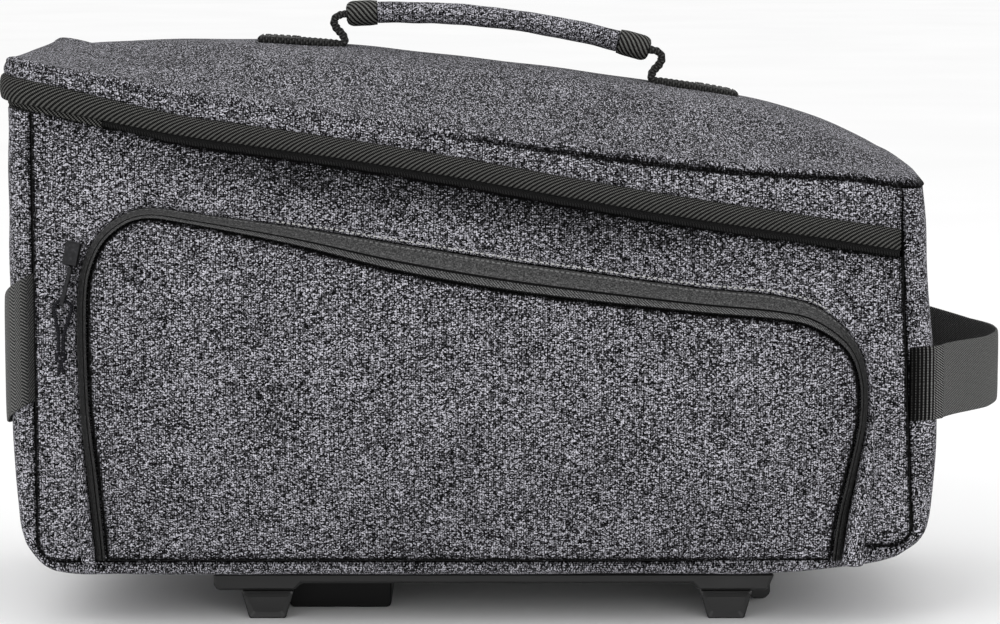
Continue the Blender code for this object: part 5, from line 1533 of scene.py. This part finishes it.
        # pale stitches on the roll's crest: real topstitching whose pale colour also paints the highlight
        # of the lit fold
        sewn = stitches(path, normals, looks().stitch, 0.65 * looks().stitch, 0.00036)
        seam = make_piece(f"pocket_stitches_{name}", [sewn], finish_of("light_thread", make_pale_thread_painted_highlight),
                          closed=True)


def make_pocket_zip(name):
    """Zip tape: a beaded binding beside the panel, a black line along the zip, then soft
    dark tape with a line of stitches at its outer edge; painted shadow lines darken both edges."""
    base = tuple(colours().zip_tape)
    r = Recipe(name, base, 0.6, specular=0.08)
    cloth = r.cloth()
    u, v, _ = r.split(cloth)
    one = r.wave(r.math("MULTIPLY_ADD", v, 1.1, u), 0.0013)
    two = r.wave(r.math("MULTIPLY_ADD", v, -1.3, u), 0.0011)
    binding = r.math("LESS_THAN", v, 0.012 * 0.29)
    beads = r.math("MULTIPLY", r.total((one, 0.22), (two, 0.12)), binding)
    fuzz = r.noise(r.scaled(cloth, 1500, 1700), detail=1.5)
    soft = r.noise(r.scaled(cloth, 500, 900), detail=1.0)
    line = r.math("COMPARE", v, 0.012 * 0.335, 0.00050)
    # painted shadow lines: black at the tape's edge by the panel and at its outer edge under the rolled
    # fabric; the dark share below darkens the tape towards its feet
    edge = r.math("LESS_THAN", v, 0.012 * 0.055)
    painted_rim_shadow = r.math("GREATER_THAN", v, 0.012 * 0.965)
    stitch = r.math("MULTIPLY", r.math("COMPARE", v, 0.012 * 0.88, 0.0003),
                    r.math("GREATER_THAN", r.wave(u, looks().stitch), -0.2))
    tone = r.total((beads, 1.0), (fuzz, 0.70), (soft, 0.30), (stitch, 0.30), (line, -0.7),
                   (edge, -0.7), (painted_rim_shadow, -0.6), (r.dark(), -0.5))
    tone = r.math("SUBTRACT", tone, 0.02)
    colour = r.ramp(tone, tones(base, (0.10, 0.02), (0.34, 0.42), (0.50, 1.0), (0.85, 3.2)))
    return r.finish(colour, tone, 0.0003, 0.5)


class BAG_OT_handle(PieceOperator, bpy.types.Operator):
    """Make the handle: padded grip, end wraps and straps sewn to the lid"""

    bl_idname = "bag.handle"
    bl_label = "Carrying handle"

    def build(self):
        line = grip_line(70)
        rings = oval_tube(line, GRIP_HEIGHT / 2, GRIP_WIDTH / 2, np.ones(len(line)), 40, 0.16)
        rings = rings + 0.0002 * ripple(rings[..., 0], rings[..., 1] + rings[..., 2], 0.016,
                                        61)[..., None] * np.array([0.0, 0.3, 1.0])
        grip = self.bar("grip_cloth", rings, finish_of("heather_jersey", make_heather), 0.0)
        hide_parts("handle_grip")
        for end, sign in (("tall", -1), ("low", 1)):
            start, stop = wrap_shares(sign)
            line = grip_line(30, start, stop)
            t = np.linspace(0, 1, 30) if sign < 0 else np.linspace(1, 0, 30)
            scales = 0.55 + 0.45 * (1 - (1 - np.clip(t / 0.28, 0, 1)) ** 2) ** 0.5
            scales = scales - 0.05 * smooth_step((t - 0.75) / 0.25)
            rings = oval_tube(line, GRIP_HEIGHT / 2 + WRAP_THICKNESS,
                              GRIP_WIDTH / 2 + WRAP_THICKNESS, scales, 40)
            wrap = self.bar(f"wrap_tape_{end}", rings, finish_of("wrap_twill", make_wrap), -0.75)
            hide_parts(f"handle_wrap_{end}")
            self.strap(end, sign)

    def bar(self, name, rings, finish, slant):
        cloth = ring_cloth(rings)
        cloth = np.stack([cloth[..., 0] + slant * cloth[..., 1], cloth[..., 1]], -1)
        cloth = np.concatenate([cloth[:1], cloth, cloth[-1:]])
        return make_piece(name, [sheet(closed_bar(rings), cloth, around=True)], finish,
                          closed=True)

    def strap(self, end, sign):
        """Webbing with a ribbed face; its sewn end is stitched round and across."""
        line = strap_line(sign, 150)
        line = np.vstack([line, line[-1:] + np.array([-sign * 0.0016, 0.0, 0.0])])
        tangent = directions(line)
        up = np.column_stack([-tangent[:, 2], np.zeros(len(line)), tangent[:, 0]])
        shares = np.linspace(0, 1, len(line))
        half = STRAP_WIDTH / 2 - (STRAP_WIDTH - GRIP_WIDTH) / 2 * smooth_step((shares - 0.45) / 0.35)
        end_round = 1 - (1 - np.clip(shares / 0.02, 0, 1)) ** 2 * 0.4
        ribs = 1 + 0.10 * np.sin(run_of(line) * 2 * np.pi / 0.0022)
        rings = flat_bar(line, up * (end_round * ribs)[:, None], half, 1.3 * STRAP_THICKNESS)
        piece = self.bar(f"strap_webbing_{end}", rings, finish_of("strap_webbing", make_strap), 0.0)
        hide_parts(f"handle_strap_{end}")
        self.sewing(end, line, half, shares)

    def sewing(self, end, line, half, shares):
        """Box with a cross, sewn into the strap's flat end."""
        keep = np.nonzero((shares > 0.02) & (shares < 0.33))[0]
        start, stop = line[keep[0]], line[keep[-1]]
        w = half[0] - 0.002
        corners = [(start, -w), (start, w), (stop, w), (stop, -w)]
        routes = [(0, 1), (1, 2), (2, 3), (3, 0), (0, 2), (1, 3)]
        sheets = []
        for a, b in routes:
            (pa, ya), (pb, yb) = corners[a], corners[b]
            t = np.linspace(0, 1, 40)
            x = pa[0] + (pb[0] - pa[0]) * t
            order = np.argsort(line[keep][:, 0])
            z = np.interp(x, line[keep][order, 0], line[keep][order, 2])
            z = z + 1.3 * STRAP_THICKNESS / 2 + 0.0001
            path = np.column_stack([x, ya + (yb - ya) * t, z])
            normals = np.tile([0.0, 0.0, 1.0], (40, 1))
            sheets.append(stitches(path, normals, looks().stitch * 1.25, looks().stitch, 0.00028))
        piece = make_piece(f"strap_stitches_{end}", sheets, finish_of("thread", make_thread),
                           closed=True)


def make_wrap(name):
    """Tape wound round the grip's ends: slanting ridges, beaded by its threads."""
    colour = tuple(1.6 * c for c in colours().twill)
    return make_twill(name, colour)


class BAG_OT_pull_loop(PieceOperator, bpy.types.Operator):
    """Make the webbing loop at the low end"""

    bl_idname = "bag.pull_loop"
    bl_label = "Pull loop"

    def build(self):
        """Flat band carried along its route in plan, with its lower edge sagging."""
        half = [(row.across, row.out) for row in LOOP_ROUTE]
        route = np.array([(-a, o) for a, o in half] + [(0.0, 1.0)] + half[::-1])
        across, out = route[:, 0], route[:, 1]
        reach = LOOP_WIDTH / 2 + LOOP_SAG
        heights = (LOOP_HEIGHT - reach, LOOP_HEIGHT, LOOP_HEIGHT + LOOP_WIDTH / 2)
        face = np.max([low_end_face(across, z) for z in heights], axis=0)
        tip = LOW_X + LOOP_REACH - LOOP_THICKNESS - 2 * GAP
        plan = np.column_stack([face + (tip - face) * out, across * WRAP_HALF_WIDTH, out])
        fine = smooth_curve(plan, 220)
        centre = offset_plan(fine[:, :2], 2 * GAP + LOOP_THICKNESS / 2)
        sag = LOOP_SAG * np.minimum(fine[:, 2] * 1.3, 1.0)
        turns = np.linspace(0, 2 * np.pi, 40, endpoint=False)
        thick = LOOP_THICKNESS / 2 * np.sign(np.cos(turns)) * np.abs(np.cos(turns)) ** 0.4
        rise = LOOP_WIDTH / 2 * np.sign(np.sin(turns)) * np.abs(np.sin(turns)) ** 0.45
        t = directions(centre)
        right = np.column_stack([t[:, 1], -t[:, 0]])
        flat = centre[:, None] + right[:, None] * thick[None, :, None]
        z = (LOOP_HEIGHT - sag)[:, None] + rise[None]
        rings = np.concatenate([flat, z[..., None]], -1)
        cloth = ring_cloth(rings)
        half_length = float(cloth[-1, 0, 0]) / 2
        cloth = np.concatenate([cloth[:1], cloth, cloth[-1:]])
        piece = make_piece("loop_webbing", [sheet(closed_bar(rings), cloth, around=True)],
                           finish_of("loop_webbing", lambda n: make_webbing(n, half_length)),
                           closed=True)
        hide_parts("pull_loop")


class BAG_OT_light_band(PieceOperator, bpy.types.Operator):
    """Make the band across the tall end that carries a clip-on light"""

    bl_idname = "bag.light_band"
    bl_label = "Light band"

    def build(self):
        """Band that follows the end panel's section and sags towards its middle."""
        steep = np.linspace(0.8, 0, 20)
        across = mirrored(np.concatenate([
            np.linspace(0, 1, 24)[:-1] * bulge(steep[0]), bulge(steep)]))
        sag = LIGHT_BAND_SAG * (0.35 * (1 - np.abs(across) ** 2.5) + 0.65 * bulge(across) ** 1.5)
        face = np.column_stack([TALL_SEAM_X - TALL_BULGE * bulge(across),
                                across * WRAP_HALF_WIDTH])
        turns = np.linspace(0, 2 * np.pi, 44, endpoint=False)
        thick = np.sign(np.cos(turns)) * np.abs(np.cos(turns)) ** 0.35
        rise = np.sign(np.sin(turns)) * np.abs(np.sin(turns)) ** 0.6 * LIGHT_BAND_HEIGHT / 2
        off = -(2 * GAP + LIGHT_BAND_THICKNESS / 2) - LIGHT_BAND_THICKNESS / 2 * thick
        t = directions(face)
        right = np.column_stack([t[:, 1], -t[:, 0]])
        flat = face[:, None] + right[:, None] * off[None, :, None]
        z = (LIGHT_BAND_CENTRE - sag)[:, None] + rise[None]
        rings = np.concatenate([flat, z[..., None]], -1)
        cloth = ring_cloth(rings)
        v = np.broadcast_to(np.concatenate([rise, rise[:1]])[None], cloth.shape[:2])
        cloth = np.stack([v, cloth[..., 0]], -1)
        cloth = np.concatenate([cloth[:1], cloth, cloth[-1:]])
        away = run_of(face)
        away = np.minimum(away, away[-1] - away)
        # painted shade over about 4 mm at each end of the band, where it meets the seams
        shade = np.broadcast_to(0.9 * np.exp(-((away / 0.004) ** 2))[:, None], rings.shape[:2])
        shade = np.concatenate([shade[:1], shade, shade[-1:]])
        piece = make_piece("light_band_tape", [sheet(closed_bar(rings), cloth, around=True)],
                           finish_of("light_band_tape", make_light_band), closed=True,
                           dark=shade)
        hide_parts("light_band")


class BAG_OT_adapter(PieceOperator, bpy.types.Operator):
    """Give the rack adapter and the zip pulls their finishes"""

    bl_idname = "bag.adapter"
    bl_label = "Adapter and metal parts"

    def build(self):
        plastic = finish_of("adapter_plastic_satin", make_plastic)
        metal = finish_of("blackened_metal", make_metal)
        black = finish_of("latch_plastic_black", make_latch_plastic)
        rigid = {name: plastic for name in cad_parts
                 if name.startswith(("rack_", "foot_", "front_"))}
        rigid["latch_housing"] = black
        rigid.update({name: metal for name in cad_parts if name.startswith("zip_")
                      and not name.startswith("zip_flap")})
        for name, finish in rigid.items():
            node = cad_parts[name]
            for place in node.material_slots:
                place.material = finish


class BAG_OT_stage(PieceOperator, bpy.types.Operator):
    """Make the camera, the soft studio lights and the pale floor"""

    bl_idname = "bag.stage"
    bl_label = "Camera, light and floor"

    def build(self):
        scene = bpy.context.scene
        lens = bpy.data.cameras.new("camera")
        lens.lens, lens.sensor_width = 128.88, 36.0
        camera = bpy.data.objects.new("camera", lens)
        camera.location = (-0.0047, -1.46468, 0.29459)
        camera.rotation_euler = (math.radians(83), 0.0, 0.0)
        scene.collection.objects.link(camera)
        scene.camera = camera
        floor = bpy.data.meshes.new("floor")
        reach = 14.0
        floor.from_pydata([(-reach, -reach, 0), (reach, -reach, 0), (reach, reach, 0),
                           (-reach, reach, 0)], [], [(0, 1, 2, 3)])
        floor.materials.append(finish_of("pale_floor", make_floor))
        ground = bpy.data.objects.new("floor", floor)
        scene.collection.objects.link(ground)
        world = bpy.data.worlds.new("studio")
        world.use_nodes = True
        self.sky(world.node_tree)
        scene.world = world
        scene.view_settings.view_transform = "Standard"
        self.lamp("key", (-0.6, -1.2, 1.0), 0.8, 5.0)
        self.lamp("fill", (0.5, -1.4, 0.22), 0.9, 5.0)
        self.lamp("top", (0.1, 0.1, 1.5), 1.0, 1.5)

    def sky(self, tree):
        """Soft light that grows from the horizon to straight above."""
        place = tree.nodes.new("ShaderNodeTexCoord").outputs["Generated"]
        split = tree.nodes.new("ShaderNodeSeparateXYZ")
        tree.links.new(place, split.inputs[0])
        ramp = tree.nodes.new("ShaderNodeValToRGB")
        ramp.color_ramp.elements[0].color = (0.86, 0.86, 0.86, 1.0)
        ramp.color_ramp.elements[1].color = (0.90, 0.90, 0.90, 1.0)
        tree.links.new(split.outputs[2], ramp.inputs["Fac"])
        back = tree.nodes["Background"]
        tree.links.new(ramp.outputs["Color"], back.inputs["Color"])
        back.inputs["Strength"].default_value = 1.15

    def lamp(self, name, place, size, power):
        light = bpy.data.lights.new(name, "AREA")
        light.shape = "SQUARE"
        light.size = size
        light.energy = power
        lamp = bpy.data.objects.new(name, light)
        place = np.array(place)
        aim = np.array([0.0, 0.0, 0.1]) - place
        lamp.location = place
        flat = math.hypot(aim[0], aim[1])
        lamp.rotation_euler = (math.atan2(flat, -aim[2]), 0.0, math.atan2(aim[1], aim[0]) - math.pi / 2)
        bpy.context.scene.collection.objects.link(lamp)


class BAG_PT_panel(bpy.types.Panel):
    """Sidebar panel with the finish's settings and its pieces"""

    bl_idname = "BAG_PT_panel"
    bl_label = "Trunk Bag"
    bl_space_type = "VIEW_3D"
    bl_region_type = "UI"
    bl_category = "Trunk Bag"

    def draw(self, context):
        layout = self.layout
        for group in (context.scene.bag_looks, context.scene.bag_colours):
            box = layout.box()
            for name in group.__annotations__:
                box.prop(group, name)
        for operator in PIECES:
            layout.operator(operator.bl_idname)


PIECES = (
    BAG_OT_stage, BAG_OT_pull_cords, BAG_OT_side_panels, BAG_OT_end_panel, BAG_OT_lid,
    BAG_OT_main_zip, BAG_OT_pockets, BAG_OT_handle, BAG_OT_pull_loop, BAG_OT_light_band,
    BAG_OT_adapter,
)
CLASSES = (BagLooks, BagColours, *PIECES, BAG_PT_panel)


def register():
    for one in CLASSES:
        bpy.utils.register_class(one)
    bpy.types.Scene.bag_looks = PointerProperty(type=BagLooks)
    bpy.types.Scene.bag_colours = PointerProperty(type=BagColours)


def unregister():
    del bpy.types.Scene.bag_colours
    del bpy.types.Scene.bag_looks
    for one in reversed(CLASSES):
        bpy.utils.unregister_class(one)


def main():
    register()
    for operator in PIECES:
        group, action = operator.bl_idname.split(".")
        getattr(getattr(bpy.ops, group), action)()


if __name__ == "__main__":
    main()
